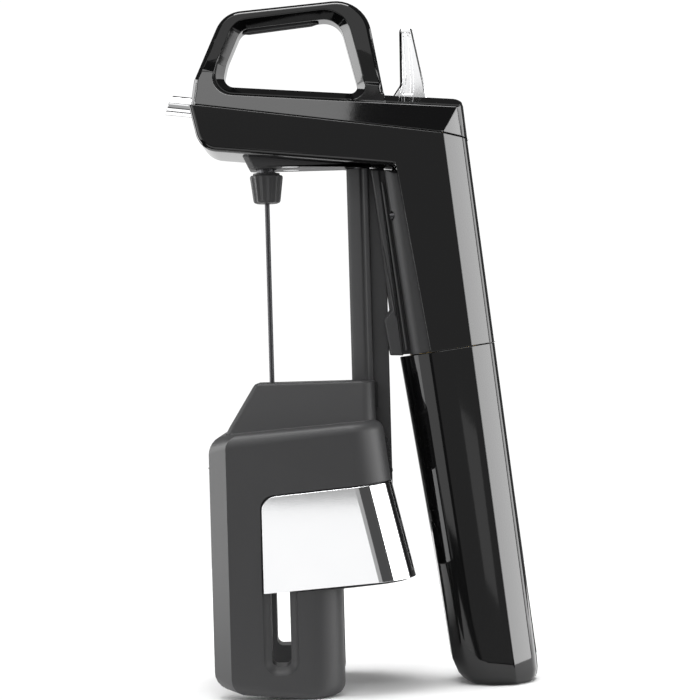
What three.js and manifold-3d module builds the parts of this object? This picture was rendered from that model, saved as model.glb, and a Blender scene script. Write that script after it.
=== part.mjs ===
// A hand-held wine opener and preserver: a needle head with a grip loop and a gas handle slides on a
// clamp that stands over the neck of the bottle. Millimetres, +Z up, spout towards -X, handle towards +X.
import * as THREE from "three";
import { mergeVertices } from "three/addons/utils/BufferGeometryUtils.js";
import Module from "manifold-3d";

const wasm = await Module();
wasm.setup();

// ---- Driving dimensions ----
// X is measured from the needle's axis, and Z from the surface that the opener stands on.
const gap = 0.3; // between pieces that rest on each other
const run = 0.1; // running clearance of what slides or turns
const wall = 2.2; // moulded walls

const headLift = 171; // underside of the head at the needle
const headHalf = 17; // half the width of the head
const headNose = 23.4; // front of the head ahead of the needle
const undersideFall = 0.113; // the underside drops to the rear
const partingRise = 13.25; // joint between cover and shell, above the underside
const partingFall = 0.14;
const deckRise = 22.2; // top deck above the underside
const deckFall = 0.08;
const headEdge = 3; // bevel of the head's edges, and how far it runs in from the sides
const headEdgeIn = 5;

const loopHeight = 28.3; // loop above the deck
const loopHalf = 8.5;
const loopBar = 6.2; // thickness of the loop's top bar
const loopRear = 7.6; // thickness of its rear leg
const loopBehind = 8.9; // rear of the loop's root ahead of the trigger's pivot

const spoutReach = 32.9; // tip of the spout ahead of the needle
const spoutRadius = 3.2;
const spoutWall = 0.8;
const spoutRise = 17.3; // axis of the spout above the underside, at the front of the head
const spoutPitch = THREE.MathUtils.degToRad(7.5);

const handleTilt = THREE.MathUtils.degToRad(7.25);
const handleX = 70.8; // middle of the handle's foot
const footHalf = 13.3; // half the depth and width of the handle at its foot
const handleFlare = 0.0205; // it widens upwards
const handleRound = 9; // rounding of its corners
const cupLength = 108.4; // foot to the seam, along the handle
const shellFront = 6; // front edge of the gloss shell ahead of the handle's axis, at the seam
const shellFrontLean = 0.03;

const capsuleRadius = 9.3;
const capsuleLength = 83;
const cupFloor = 16; // floor of the cup's bore above its foot
const collarRadius = 12;
const collarDrop = 11; // threaded collar below the seam

const regulatorRadius = 11.5;
const regulatorLength = 28;
const pistonRadius = 6;

const triggerDrop = 7.2; // pivot below the deck
const triggerHalf = 2.8;
const triggerReach = 22.3; // tip above the deck
const valveBehind = 9.54; // axis of the valve ahead of the handle's rear, at the deck
const leverArm = 6.5; // from the trigger's pivot back to the valve
const valveRadius = 5.5;
const valveLength = 20;
const plungerRadius = 1.6;

const noseDrop = 4.4; // nose block below the underside at the needle
const noseFront = 4.9; // its front ahead of the needle
const noseHalf = 12;
const nutLength = 9.9;
const nutTop = 5.4; // outer radius of the needle nut at its top
const nutFoot = 4.5;
const nippleRadius = 3;
const needleRadius = 0.8;

const railFront = 26; // front of the rail behind the needle
const railDepth = 12.2;
const railHead = 7; // depth of the rail's wide head
const railHalf = 5.5; // half the width of its head
const railNeckHalf = 3.5;
const railFoot = 50; // lower end of the rail, above the surface
const webHalf = 8; // half the width of the frame's web, which enters the clamp's slot
const frameHalf = 12.9;

const clampHalf = 28; // half the width of the clamp
const clampFront = 19.8; // front of the clamp ahead of the needle
const clampBevelIn = 8; // its front plan bevel, along Y and X
const clampBevelBack = 5.8;
const shoulderTop = 84;
const blockTop = 98.3;
const blockFrontTop = 4.8; // front of the block's top ahead of the needle, and of its foot
const blockFrontFoot = 13.8;
const blockRear = 33.2;
const blockHalfTop = 14.5;
const blockHalfFoot = 18;
const clampRound = 11.5; // rounding of the clamp's rear corners
const clampRearTop = 34.9; // rear of the clamp at its shoulder, at the band's top and foot
const clampRearBand = 37.2;
const clampRearFoot = 43.2;
const bandFront = 3.2; // front edge of the chrome band ahead of the needle
const bandFoot = 33.4; // its lower edge at the needle, and how it climbs to the rear
const bandFootClimb = 0.07;
const bandTop = 63.3;
const bandTopClimb = 0.085;
const bandProud = 0.5; // it stands out of the clamp's side
const bandSheet = 1.4;
const legRear = 21.3;
const legRound = 10;
const legInner = 18; // inner face of the legs from the middle
const neckHalf = 16; // half the gap that takes the neck of the bottle
const neckRear = 16;
const neckTop = 62.5; // ceiling over the lip of the bottle
const windowFront = 1.3; // window through the legs: front edge ahead of the needle
const windowRear = 4.7;
const windowFoot = 10.2;
const windowRim = 2.4; // step of the recess round the window
const windowRound = 1.8;
const slotHalf = 9; // slot behind the rail for the frame's web
const slotFoot = 53.5;

const jawHalf = 11; // half the length of a jaw
const jawFoot = 37;
const jawPivot = 58; // height of the jaws' pins
const jawFace = 17.2; // inner face of a jaw from the middle
const jawSheet = 3.2;
const jawPad = 1.6;
const jawPinRadius = 1.25;
const bushWall = 1.2; // glide bushes that line the rail's channel
const bushLength = 8;
const badgeZ = 45.5; // middle of the badge behind
const guideRadius = 3.2;

// ---- Looks, one material for each finish ----
const finish = (color, roughness, metalness) => ({ color, roughness, metalness });
const glossBlack = finish(0x1b1b1c, 0.12, 0);
const satinGrey = finish(0x424244, 0.55, 0);
const chrome = finish(0xe9eaec, 0.06, 1);
const steel = finish(0xa9acb0, 0.3, 1);
const brass = finish(0xb99a58, 0.35, 1);
const aluminium = finish(0xc3c5c8, 0.4, 1);
const rubber = finish(0x1c1c1d, 0.85, 0);
const clearTube = finish(0xd8dcdd, 0.35, 0);

// ---- Solids ----
function solid(geometry) {
  geometry.deleteAttribute("normal");
  geometry.deleteAttribute("uv");
  const merged = mergeVertices(geometry, 1e-4);
  const vertProperties = merged.attributes.position.array;
  const triVerts = new Uint32Array(merged.index.array);
  return new wasm.Manifold(new wasm.Mesh({ numProp: 3, vertProperties, triVerts }));
}

// A closed outline through corners [x, y, setback]: a curve replaces each corner from its setback on.
function outline(corners) {
  const path = new THREE.Shape();
  const at = corners.map(([x, y]) => new THREE.Vector2(x, y));
  corners.forEach(([, , setback = 0], i) => {
    const towards = (other) => other.clone().sub(at[i]).setLength(setback).add(at[i]);
    const start = towards(at.at(i - 1));
    const end = towards(at[(i + 1) % at.length]);
    if (i === 0) path.moveTo(start.x, start.y);
    else path.lineTo(start.x, start.y);
    if (setback) path.quadraticCurveTo(at[i].x, at[i].y, end.x, end.y);
  });
  path.closePath();
  return path;
}

// Rings of points, each as long as the next and counter-clockwise from above, joined from the lowest up.
function joined(rings) {
  const count = rings[0].length;
  const positions = rings.flat().flatMap((p) => [p.x, p.y, p.z]);
  const faces = [];
  for (let k = 0; k + 1 < rings.length; k++)
    for (let i = 0; i < count; i++) {
      const a = k * count + i;
      const b = k * count + ((i + 1) % count);
      faces.push(a, b, b + count, a, b + count, a + count);
    }
  const lid = THREE.ShapeUtils.triangulateShape(rings[0].map((p) => new THREE.Vector2(p.x, p.y)), []);
  const top = (rings.length - 1) * count;
  for (const [a, b, c] of lid) faces.push(a, c, b, top + a, top + b, top + c);
  const geometry = new THREE.BufferGeometry();
  geometry.setAttribute("position", new THREE.Float32BufferAttribute(positions, 3));
  geometry.setIndex(faces);
  return geometry;
}

const loft = (rings) => solid(joined(rings));

// The corners of an outline moved in by a distance, their setbacks cut to suit; corners run counter-clockwise.
function moveIn(corners, distance) {
  if (!distance) return corners;
  const at = corners.map(([x, y]) => new THREE.Vector2(x, y));
  return corners.map(([, , setback = 0], i) => {
    const into = at[i].clone().sub(at.at(i - 1)).normalize();
    const away = at[(i + 1) % at.length].clone().sub(at[i]).normalize();
    const push = distance / (1 + into.dot(away));
    const x = at[i].x - push * (into.y + away.y);
    const y = at[i].y + push * (into.x + away.x);
    return [x, y, setback && Math.max(0.3 * setback, setback - distance)];
  });
}

// An outline stacked at heights; each layer is [height, distance that it is moved in].
function layered(corners, layers, segments) {
  const clockwise = THREE.ShapeUtils.isClockWise(corners.map(([x, y]) => new THREE.Vector2(x, y)));
  const ordered = clockwise ? corners.toReversed() : corners;
  return joined(
    layers.map(([height, inset]) =>
      outline(moveIn(ordered, inset))
        .getPoints(segments)
        .slice(0, -1)
        .map((p) => new THREE.Vector3(p.x, p.y, height)),
    ),
  );
}

// An outline drawn in side view (X, Z) and drawn out to half a width on each side of the middle plane.
function sidePlate(corners, half, { edge = 0, edgeIn = Math.abs(edge), segments = 4 } = {}) {
  const flat = half - edgeIn;
  const layers = edge ? [[-half, edge], [-flat, 0], [flat, 0], [half, edge]] : [[-half, 0], [half, 0]];
  return solid(layered(corners, layers, segments).rotateX(Math.PI / 2));
}

// An outline drawn in plan (X, Y), from one height to another.
function planPrism(corners, low, high, segments = 4) {
  return solid(layered(corners, [[low, 0], [high, 0]], segments));
}

function block(x0, x1, y0, y1, z0, z1) {
  const geometry = new THREE.BoxGeometry(x1 - x0, y1 - y0, z1 - z0);
  return solid(geometry.translate((x0 + x1) / 2, (y0 + y1) / 2, (z0 + z1) / 2));
}

// A profile of [radius, height] pairs turned about a vertical axis, or about the one that place gives.
function turned(profile, place = new THREE.Matrix4(), segments = 24) {
  const points = profile.map(([r, z]) => new THREE.Vector2(r, z));
  const geometry = new THREE.LatheGeometry(points, segments).rotateX(Math.PI / 2);
  return solid(geometry.applyMatrix4(place));
}

function rod(radius, low, high, place, segments = 24) {
  return turned([[0, low], [radius, low], [radius, high], [0, high]], place, segments);
}

function ring(inner, outer, low, high, place, segments = 24) {
  const profile = [[inner, low], [outer, low], [outer, high], [inner, high], [inner, low]];
  return turned(profile, place, segments);
}

const at = (x, y, z) => new THREE.Matrix4().makeTranslation(x, y, z);
const lyingX = (x, y, z) => at(x, y, z).multiply(new THREE.Matrix4().makeRotationY(Math.PI / 2));
const lyingY = (x, y, z) => at(x, y, z).multiply(new THREE.Matrix4().makeRotationX(-Math.PI / 2));

// The handle's own frame: origin in the middle of its foot, +Z up along its axis.
const handle = at(handleX, 0, 0).multiply(new THREE.Matrix4().makeRotationY(-handleTilt));
const onHandle = (x, z) => new THREE.Vector3(x, 0, z).applyMatrix4(handle);

// A rounded rectangle in plan. Corner rounds are [along x, along y, steps], for the front and the rear,
// and no round is wider than its side allows.
function section(front, rear, half, frontRoom, rearRoom) {
  const points = [];
  const depth = (front + rear) / 2 - 0.2;
  const limited = ([x, y, steps]) => [Math.min(x, depth), Math.min(y, half - 0.2), steps];
  const frontRound = limited(frontRoom);
  const rearRound = limited(rearRoom);
  const corner = (x, y, [rx, ry, steps], from) => {
    for (let i = 0; i <= steps; i++) {
      const angle = from + ((Math.PI / 2) * i) / steps;
      points.push([x + rx * Math.cos(angle), y + ry * Math.sin(angle)]);
    }
  };
  corner(rear - rearRound[0], half - rearRound[1], rearRound, 0);
  corner(-front + frontRound[0], half - frontRound[1], frontRound, Math.PI / 2);
  corner(-front + frontRound[0], -half + frontRound[1], frontRound, Math.PI);
  corner(rear - rearRound[0], -half + rearRound[1], rearRound, 1.5 * Math.PI);
  return points;
}

class Helix extends THREE.Curve {
  constructor(radius, height, turns) {
    super();
    Object.assign(this, { radius, height, turns });
  }
  getPoint(t) {
    const angle = 2 * Math.PI * this.turns * t;
    return new THREE.Vector3(this.radius * Math.cos(angle), this.radius * Math.sin(angle), this.height * t);
  }
}

function alongPath(radius, path, steps, place = new THREE.Matrix4(), sides = 8) {
  const turn = (i) => (2 * Math.PI * i) / sides;
  const round = Array.from({ length: sides }, (_, i) => [radius * Math.cos(turn(i)), radius * Math.sin(turn(i))]);
  const options = { steps, extrudePath: path, bevelEnabled: false };
  return solid(new THREE.ExtrudeGeometry(outline(round), options).applyMatrix4(place));
}

function coil(radius, wire, height, turns, place) {
  return alongPath(wire, new Helix(radius, height, turns), turns * 9, place, 5);
}

function tube(radius, points, steps = 8) {
  const path = new THREE.CatmullRomCurve3(points.map(([x, z, y = 0]) => new THREE.Vector3(x, y, z)));
  return alongPath(radius, path, steps);
}

// ---- The assembly ----
const opener = new THREE.Group();
const pieces = new THREE.Group();
const footReach = handleX + footHalf * Math.cos(handleTilt) + 0.1;
pieces.position.x = (spoutReach - footReach) / 2; // the origin is under the middle of the whole
opener.add(pieces);

function piece(name, made, look) {
  const { numProp, vertProperties, triVerts } = made.getMesh();
  const corners = new Float32Array((vertProperties.length / numProp) * 3);
  for (let i = 0; i * 3 < corners.length; i++)
    corners.set(vertProperties.subarray(i * numProp, i * numProp + 3), i * 3);
  const geometry = new THREE.BufferGeometry();
  geometry.setAttribute("position", new THREE.BufferAttribute(corners, 3));
  geometry.setIndex(new THREE.BufferAttribute(triVerts, 1));
  geometry.computeVertexNormals();
  const mesh = new THREE.Mesh(geometry, new THREE.MeshStandardMaterial(look));
  mesh.name = name;
  pieces.add(mesh);
  return made;
}

// ---- Lines of the head in side view ----
const underside = (x) => headLift - undersideFall * x;
const parting = (x) => headLift + partingRise - partingFall * x;
const deck = (x) => headLift + deckRise - deckFall * x;
const handleHalf = (z) => footHalf + handleFlare * z;
const far = 400; // reach of the cutting blocks

// What stands on the rear of the deck follows the handle's lean.
const headRear = onHandle(handleHalf(headLift + deckRise), headLift + deckRise).x;
const valveX = headRear - valveBehind;
const triggerX = valveX - leverArm;
const loopTail = triggerX - loopBehind;

// Everything above, or below, the joint between the cover and the shell.
function aboveParting(lift, way) {
  const low = (x) => parting(x) + lift;
  return sidePlate([[-far, low(-far)], [far, low(far)], [far, way * far], [-far, way * far]], far);
}

// Everything above the plane across the handle at height z along it, or below it.
function aboveHandle(z, way) {
  const geometry = new THREE.BoxGeometry(far, far, far).translate(0, 0, z + (way * far) / 2);
  return solid(geometry.applyMatrix4(handle));
}

// A column along the handle with its rounded rear; reach is how far it goes ahead of the axis.
function handleColumn(reach, inset, low, high) {
  const round = handleRound - inset;
  const plan = (z) => {
    const half = handleHalf(z) - inset;
    return section(reach, half, half, [1, 1, 1], [round, round * 1.25, 5]);
  };
  const ringAt = (z) => plan(z).map(([x, y]) => new THREE.Vector3(x, y, z).applyMatrix4(handle));
  return loft([ringAt(low), ringAt(high)]);
}

const seam = cupLength;
const shellEdge = (z) => onHandle(-shellFront - shellFrontLean * (z - seam), z);
const shellEdgeFoot = shellEdge(seam - 12);
const shellEdgeTop = shellEdge(seam + 59);
const handleBack = handleX + 2 * footHalf; // well behind the handle's rear

function headBody(inset) {
  const nose = headNose - inset;
  const low = (x) => underside(x) + inset;
  const top = (x) => deck(x) - inset;
  const rear = onHandle(handleHalf(headLift + deckRise) + 3, headLift + deckRise).x - inset;
  return sidePlate(
    [
      [-nose + 0.4, low(-nose), 8 - inset],
      [shellEdgeTop.x + inset, low(shellEdgeTop.x), inset ? 0 : 1.5],
      [shellEdgeFoot.x + inset, shellEdgeFoot.z],
      [handleBack, shellEdgeFoot.z],
      [rear, top(rear), 3],
      [-nose, top(-nose), 3],
    ],
    headHalf - inset,
    { edge: headEdge, edgeIn: headEdgeIn, segments: 5 },
  ).intersect(handleColumn(far / 2, inset, -20, headLift + 60));
}

// The hollow runs out of the handle's front, where the inner frame closes it.
const handleMouth = sidePlate(
  [
    [shellEdgeTop.x - 9, underside(shellEdgeTop.x) - 3.4],
    [shellEdgeFoot.x - 9, shellEdgeFoot.z],
    [handleX, shellEdgeFoot.z],
    [shellEdgeTop.x + 8, underside(shellEdgeTop.x) - 1],
  ],
  far,
).intersect(handleColumn(far / 2, wall, -20, headLift + 60));

const spoutAxisZ = headLift + spoutRise;
const spoutFrame = at(-headNose, 0, spoutAxisZ).multiply(
  new THREE.Matrix4().makeRotationY(-Math.PI / 2 + spoutPitch),
);
const spoutTail = -14; // inner end of the spout along its axis
const spoutBore = rod(spoutRadius + gap, spoutTail - 3, 20, spoutFrame);

const nippleBore = rod(nippleRadius + gap, headLift - 30, headLift + 4);
const railScrewX = railFront + railHead - 2.6;
const screwRadius = 1.5;
const screwHead = 2.8;
const railScrewBore = rod(screwRadius + gap, headLift - 20, headLift + 8, at(railScrewX, 0, 0), 12);
const noseScrewX = 8;
const noseScrewY = 5.9;
const sides = [[-1, "left"], [1, "right"]];
const noseScrewBore = sides
  .map(([side]) => rod(screwRadius + gap, headLift - 12, headLift + 8, at(noseScrewX, side * noseScrewY, 0), 12))
  .reduce((a, b) => a.add(b));
const noseScrewSeat = headLift - noseDrop + 1.9; // the screws' heads are sunk in the block
const noseScrewSink = sides
  .map(([side]) => rod(screwHead + gap, headLift - 20, noseScrewSeat, at(noseScrewX, side * noseScrewY, 0), 16))
  .reduce((a, b) => a.add(b));

function makeHeadShells() {
  const body = headBody(0);
  const hollow = headBody(wall + 0.2).add(handleMouth);
  const shell = body
    .subtract(hollow)
    .intersect(aboveParting(-gap / 2, -1))
    .intersect(aboveHandle(seam + gap / 2, 1))
    .subtract(spoutBore)
    .subtract(nippleBore)
    .subtract(railScrewBore)
    .subtract(noseScrewBore);
  piece("main_shell", shell, glossBlack);

  const loopTop = (x) => deck(x) + loopHeight + 0.16 * (x - 20);
  const outer = [
    [-headNose + 0.2, parting(-headNose) - 3],
    [loopTail + 0.6, parting(loopTail) - 3],
    [loopTail - 0.2, deck(loopTail) + 1.5],
    [loopTail - 3, deck(loopTail) + 0.6 * loopHeight],
    [loopTail - 5, loopTop(loopTail - 5), 0.24 * loopHeight],
    [-12, loopTop(-12), 0.23 * loopHeight],
    [-17.9, deck(0) + 0.45 * loopHeight, 0.18 * loopHeight],
    [-22.1, deck(0) + 3],
  ];
  const barUnder = (x) => loopTop(x) - loopBar;
  const hole = [
    [-13.2, deck(-13) + 0.3, 2],
    [-11.6, deck(0) + 0.3 * loopHeight, 0.1 * loopHeight],
    [-7.4, barUnder(-7.4), 0.12 * loopHeight],
    [loopTail - 5 - loopRear + 1, barUnder(loopTail - 12), 4],
    [loopTail - loopRear, deck(loopTail - loopRear) + 0.3, 2.5],
  ];
  const opening = sidePlate(hole, loopHalf + 0.1, { edge: -1.8, segments: 5 });
  const loop = sidePlate(outer, loopHalf, { edge: 1.6, edgeIn: 1.8, segments: 5 }).subtract(opening);
  const deckShell = body.subtract(headBody(wall + 0.2));
  const slot = block(triggerX - 7, triggerX + 8.5, -triggerHalf - gap, triggerHalf + gap, headLift, far);
  const cover = deckShell
    .add(loop.subtract(headBody(wall + 0.2)))
    .intersect(aboveParting(gap / 2, 1))
    .subtract(slot)
    .subtract(spoutBore);
  piece("top_cover", cover, glossBlack);

  const padLow = (x) => barUnder(x) - gap - 1.7;
  const pad = sidePlate(
    [
      [-4, padLow(-4), 0.8],
      [19, padLow(19), 0.8],
      [19, barUnder(19) - gap],
      [-4, barUnder(-4) - gap],
    ],
    loopHalf - 2.5,
    { edge: 0.4 },
  );
  piece("loop_grip_pad", pad, rubber);
}

// ---- Rail, frame and nose ----
// Plan of the rail grown by a clearance: a wide head at the front and a neck that runs back to the web.
function railPlan(grown, rear = railFront + railDepth) {
  const shoulder = railFront + railHead;
  const half = railHalf + grown;
  const neck = railNeckHalf + grown;
  const front = railFront - grown;
  return [
    [front, -half + 1.6],
    [railFront + 4.6, -half],
    [shoulder + grown, -half],
    [shoulder + grown, -neck],
    [rear + grown, -neck],
    [rear + grown, neck],
    [shoulder + grown, neck],
    [shoulder + grown, half],
    [railFront + 4.6, half],
    [front, half - 1.6],
  ];
}

const railTop = underside(railFront + railHead) - 0.6;
const stopScrewZ = railFoot + 5;
const stopScrewFrame = lyingX(railFront, 0, stopScrewZ);

function makeRail() {
  const rail = planPrism(railPlan(0), railFoot, railTop)
    .subtract(rod(screwRadius + gap, railTop - 8, railTop + 5, at(railScrewX, 0, 0), 12))
    .subtract(rod(screwRadius + gap, -1, 6, stopScrewFrame, 12));
  piece("guide_rail", rail, satinGrey);
  const stop = [[0, -1.5], [2.4, -1.5], [2.4, -0.3], [screwRadius, -0.3], [screwRadius, 5], [0, 5]];
  piece("rail_stop_screw", turned(stop, stopScrewFrame, 12), steel);

  const floor = underside(railScrewX) + wall + 0.9;
  const seat = [
    [0, railTop - 7],
    [screwRadius, railTop - 7],
    [screwRadius, floor],
    [screwHead, floor],
    [screwHead, floor + 2],
    [0, floor + 2],
  ];
  piece("rail_screw", turned(seat, at(railScrewX, 0, 0), 12), steel);

  const webTop = underside(railFront + railHead + 2) - 0.6;
  const seamPoint = (x, lift = 1) => onHandle(x, seam + lift);
  const lug = seamPoint(-18.4);
  const web = sidePlate(
    [
      [railFront + railHead + 1.2, webTop],
      [lug.x + 1.1, lug.z + 14],
      [lug.x - 1.7, lug.z + 11.4],
      [lug.x, lug.z],
      [seamPoint(-9).x, seamPoint(-9).z],
      [shellEdgeTop.x - 0.6, underside(shellEdgeTop.x) - 0.9],
    ],
    webHalf,
  );
  const back = 2.6; // the frame reaches into the shell behind its edge
  const body = sidePlate(
    [
      [shellEdgeTop.x - 4.6, underside(shellEdgeTop.x - 4.6) - 0.6],
      [seamPoint(-14).x, seamPoint(-14).z],
      [seamPoint(-shellFront + back).x, seamPoint(-shellFront + back).z],
      [shellEdgeTop.x + back - 0.8, underside(shellEdgeTop.x) - 3.2],
      [shellEdgeTop.x - 0.4, underside(shellEdgeTop.x) - 2.7],
      [shellEdgeTop.x - 0.6, underside(shellEdgeTop.x) - 0.9],
    ],
    frameHalf,
    { edge: 1 },
  );
  const regulatorRoom = rod(regulatorRadius + 2 * gap, seam - 20, seam + regulatorLength + 8, handle);
  const frame = web
    .add(body)
    .subtract(planPrism(railPlan(gap), railFoot - 5, headLift + 10))
    .subtract(regulatorRoom)
    .subtract(frameScrewBore);
  piece("inner_frame", frame, satinGrey);

  const noseLow = headLift - noseDrop;
  const nose = sidePlate(
    [
      [-noseFront - 2.4, underside(-noseFront) - gap],
      [-noseFront, noseLow],
      [railFront + railHead + 0.8, noseLow],
      [railFront + railHead + 0.8, underside(railFront + railHead + 0.8) - gap],
    ],
    noseHalf,
  )
    .subtract(planPrism(railPlan(gap), railFoot, headLift + 10))
    .subtract(nippleBore)
    .subtract(noseScrewBore)
    .subtract(noseScrewSink);
  piece("nose_block", nose, satinGrey);

  for (const [side, name] of sides) {
    const low = noseLow + 1.0;
    const tip = underside(noseScrewX) + wall + 0.6;
    const seatZ = noseScrewSeat - 0.1;
    const screw = [[0, low], [screwHead, low], [screwHead, seatZ], [screwRadius, seatZ], [screwRadius, tip], [0, tip]];
    piece(`nose_screw_${name}`, turned(screw, at(noseScrewX, side * noseScrewY, 0), 12), steel);
  }
}

// Two screws hold the frame in the shell, one on each side, above the regulator.
const frameScrewRadius = 1.2;
const frameScrewZ = seam + 45;
const frameScrewPlace = (side) => handle.clone().multiply(lyingX(-shellFront, side * 10.4, frameScrewZ));
const frameScrewBore = sides
  .map(([side]) => rod(frameScrewRadius + gap, -8, 12, frameScrewPlace(side), 12))
  .reduce((a, b) => a.add(b));

function makeFrameScrews() {
  for (const [side, name] of sides)
    piece(`frame_screw_${name}`, rod(frameScrewRadius, -6, 4.5, frameScrewPlace(side), 12), steel);
}

// ---- Needle, nut and wine path ----
const nutLow = headLift - noseDrop - gap - nutLength;
const hubLow = nutLow + 2.6;
const hubHigh = hubLow + 1.3;
const needleTop = headLift + 3;
const needleFoot = 72; // point of the needle at rest, inside its guide

function makeNeedle() {
  const nippleFoot = hubHigh + gap;
  const nipple = [
    [needleRadius + 0.3, nippleFoot],
    [nippleRadius, nippleFoot],
    [nippleRadius, headLift + 3.4],
    [needleRadius + 0.3, headLift + 3.4],
    [needleRadius + 0.3, nippleFoot],
  ];
  const seat = ring(0.5, 1.9, nippleFoot - 0.1, nippleFoot + 1.2);
  piece("needle_nipple", turned(nipple).subtract(seat), steel);
  const oRing = ring(needleRadius + 0.05, 1.7, hubHigh + 0.1, hubHigh + 1.2, undefined, 16);
  piece("needle_oring", oRing, rubber);

  const needle = [
    [0, needleFoot],
    [needleRadius, needleFoot + 3],
    [needleRadius, hubLow],
    [2.6, hubLow],
    [2.6, hubHigh],
    [needleRadius, hubHigh],
    [needleRadius, needleTop],
    [0, needleTop],
  ];
  piece("needle", turned(needle, undefined, 12), steel);

  const bore = nippleRadius + run;
  const nutHigh = nutLow + nutLength;
  const nut = [
    [needleRadius + run, nutLow],
    [nutFoot - 1, nutLow],
    [nutFoot, nutLow + 1.1],
    [nutTop, nutHigh - 0.9],
    [nutTop - 0.6, nutHigh],
    [bore, nutHigh],
    [bore, hubLow - 0.1],
    [needleRadius + run, hubLow - 0.1],
    [needleRadius + run, nutLow],
  ];
  const flutes = 8;
  let made = turned(nut, undefined, 32);
  for (let i = 0; i < flutes; i++) {
    const angle = (2 * Math.PI * (i + 0.5)) / flutes;
    const reach = nutTop + 0.5;
    const flute = rod(0.8, nutLow - 1, nutHigh - 1.6, at(reach * Math.cos(angle), reach * Math.sin(angle), 0), 8);
    made = made.subtract(flute);
  }
  piece("needle_nut", made, satinGrey);

  const floor = (x) => underside(x) + wall + 0.5;
  const blockHigh = headLift + 12;
  const body = sidePlate([[-7, floor(-7)], [9, floor(9) + 0.8], [9, blockHigh], [-7, blockHigh]], 8, { edge: 0.8 });
  const hollow = rod(nippleRadius + gap, headLift - 5, headLift + 4);
  piece("needle_block", body.subtract(hollow).subtract(rod(1.2, headLift + 3, blockHigh + 1)), aluminium);

  const spout = ring(spoutRadius - spoutWall, spoutRadius, spoutTail, 14, spoutFrame, 28);
  const tipX = -spoutReach;
  const tipLow = spoutAxisZ - spoutRadius - 2;
  const cut = sidePlate([[tipX, tipLow + 2], [tipX + 5.2, spoutAxisZ + 8], [-far, spoutAxisZ + 8], [-far, tipLow]], 20);
  piece("spout", spout.subtract(cut), chrome);

  const inner = new THREE.Vector3(0, 0, spoutTail + 4).applyMatrix4(spoutFrame);
  const outer = new THREE.Vector3(0, 0, spoutTail - 2).applyMatrix4(spoutFrame);
  const route = [[inner.x, inner.z], [outer.x, outer.z], [outer.x + 4, outer.z - 0.6], [0, blockHigh + gap]];
  const settled = tube(1.5, route, 10).intersect(block(-far, far, -far, far, blockHigh + gap, far));
  piece("wine_tube", settled, clearTube);
}

// ---- Trigger and valve ----
const triggerZ = deck(triggerX) - triggerDrop;
const valveHigh = triggerZ - 4.6;
const armLow = triggerZ - 2.4;

function makeTrigger() {
  const top = deck(triggerX);
  const bore = rod(1.25 + run, -9, 9, lyingY(triggerX, 0, triggerZ), 16);
  const lever = sidePlate(
    [
      [triggerX + 1.2, top + triggerReach, 1.3],
      [triggerX - 2.2, top + triggerReach + 0.2, 1.3],
      [triggerX - 3.5, top + 3.9, 2],
      [triggerX - 5.6, top, 1],
      [triggerX - 4, triggerZ - 1.5, 1],
      [triggerX, triggerZ - 3.4, 1],
      [triggerX + 3, armLow],
      [triggerX + 9.6, armLow, 0.8],
      [triggerX + 9.6, armLow + 2.4, 0.8],
      [triggerX + 5.3, triggerZ + 2.6, 1],
      [triggerX + 5.2, top - 0.6, 0.5],
    ],
    triggerHalf,
    { edge: 0.5 },
  );
  piece("trigger", lever.subtract(bore), chrome);
  const bracketOut = (headHalf * 11) / 17;
  const bracketIn = bracketOut - 2.8;
  piece("trigger_pin", rod(1.25, 1 - bracketOut, bracketOut - 1, lyingY(triggerX, 0, triggerZ), 16), steel);
  const springPlace = lyingY(triggerX, triggerHalf + 0.9, triggerZ);
  const springRoom = bracketIn - triggerHalf - 1.8;
  const springTurns = Math.max(1, Math.round(springRoom / 1.2));
  piece("trigger_spring", coil(2.3, 0.4, springRoom, springTurns, springPlace), steel);
  for (const [side, name] of sides) {
    const y0 = side * bracketIn;
    const y1 = side * bracketOut;
    const ear = sidePlate(
      [
        [triggerX - 3.5, triggerZ + 3],
        [triggerX - 3.5, triggerZ - 9],
        [triggerX + 3.5, triggerZ - 9],
        [triggerX + 3.5, triggerZ + 3],
      ],
      bracketOut,
    ).intersect(block(-far, far, Math.min(y0, y1), Math.max(y0, y1), 0, far));
    piece(`trigger_bracket_${name}`, ear.subtract(rod(1.25 + gap, -20, 20, lyingY(triggerX, 0, triggerZ), 16)), steel);
  }

  const low = valveHigh - valveLength;
  const place = at(valveX, 0, 0);
  const body = [
    [0, low],
    [valveRadius, low],
    [valveRadius, valveHigh - 1.8],
    [4, valveHigh - 1.8],
    [4, low + 7],
    [0, low + 7],
  ];
  piece("valve_body", turned(body, place).subtract(rod(1, low - 1, low + 8, place, 8)), brass);
  piece("valve_cap", ring(plungerRadius + run, valveRadius, valveHigh - 1.5, valveHigh, place), brass);
  const discLow = valveHigh - 8;
  const plunger = [
    [0, discLow],
    [3.7, discLow],
    [3.7, discLow + 2],
    [plungerRadius, discLow + 2],
    [plungerRadius, armLow - gap - 0.5],
    [plungerRadius - 0.6, armLow - gap],
    [0, armLow - gap],
  ];
  piece("valve_plunger", turned(plunger, place), brass);
  const sealLow = discLow + 2.1;
  piece("valve_seal", ring(plungerRadius + 0.05, 3.2, sealLow, sealLow + 1.3, place, 16), rubber);
  const springLow = low + 7 + 0.7;
  const springHigh = discLow - 0.7;
  piece("valve_spring", coil(2.8, 0.45, springHigh - springLow, 4, at(valveX, 0, springLow)), steel);

  const capTop = onHandle(0, seam + regulatorLength + 6);
  const gasRoute = [[capTop.x, capTop.z], [(capTop.x + valveX) / 2 - 0.4, (capTop.z + low) / 2], [valveX, low - gap]];
  piece("gas_tube", tube(1.5, gasRoute, 5), steel);
  const feedZ = valveHigh - 4.5;
  const feed = [[valveX - valveRadius - 3 * gap, feedZ], [40, feedZ + 3], [28, feedZ + 4.6], [9 + 2 * gap, headLift + 7]];
  piece("gas_feed_tube", tube(1.3, feed, 12), steel);
}

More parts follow.
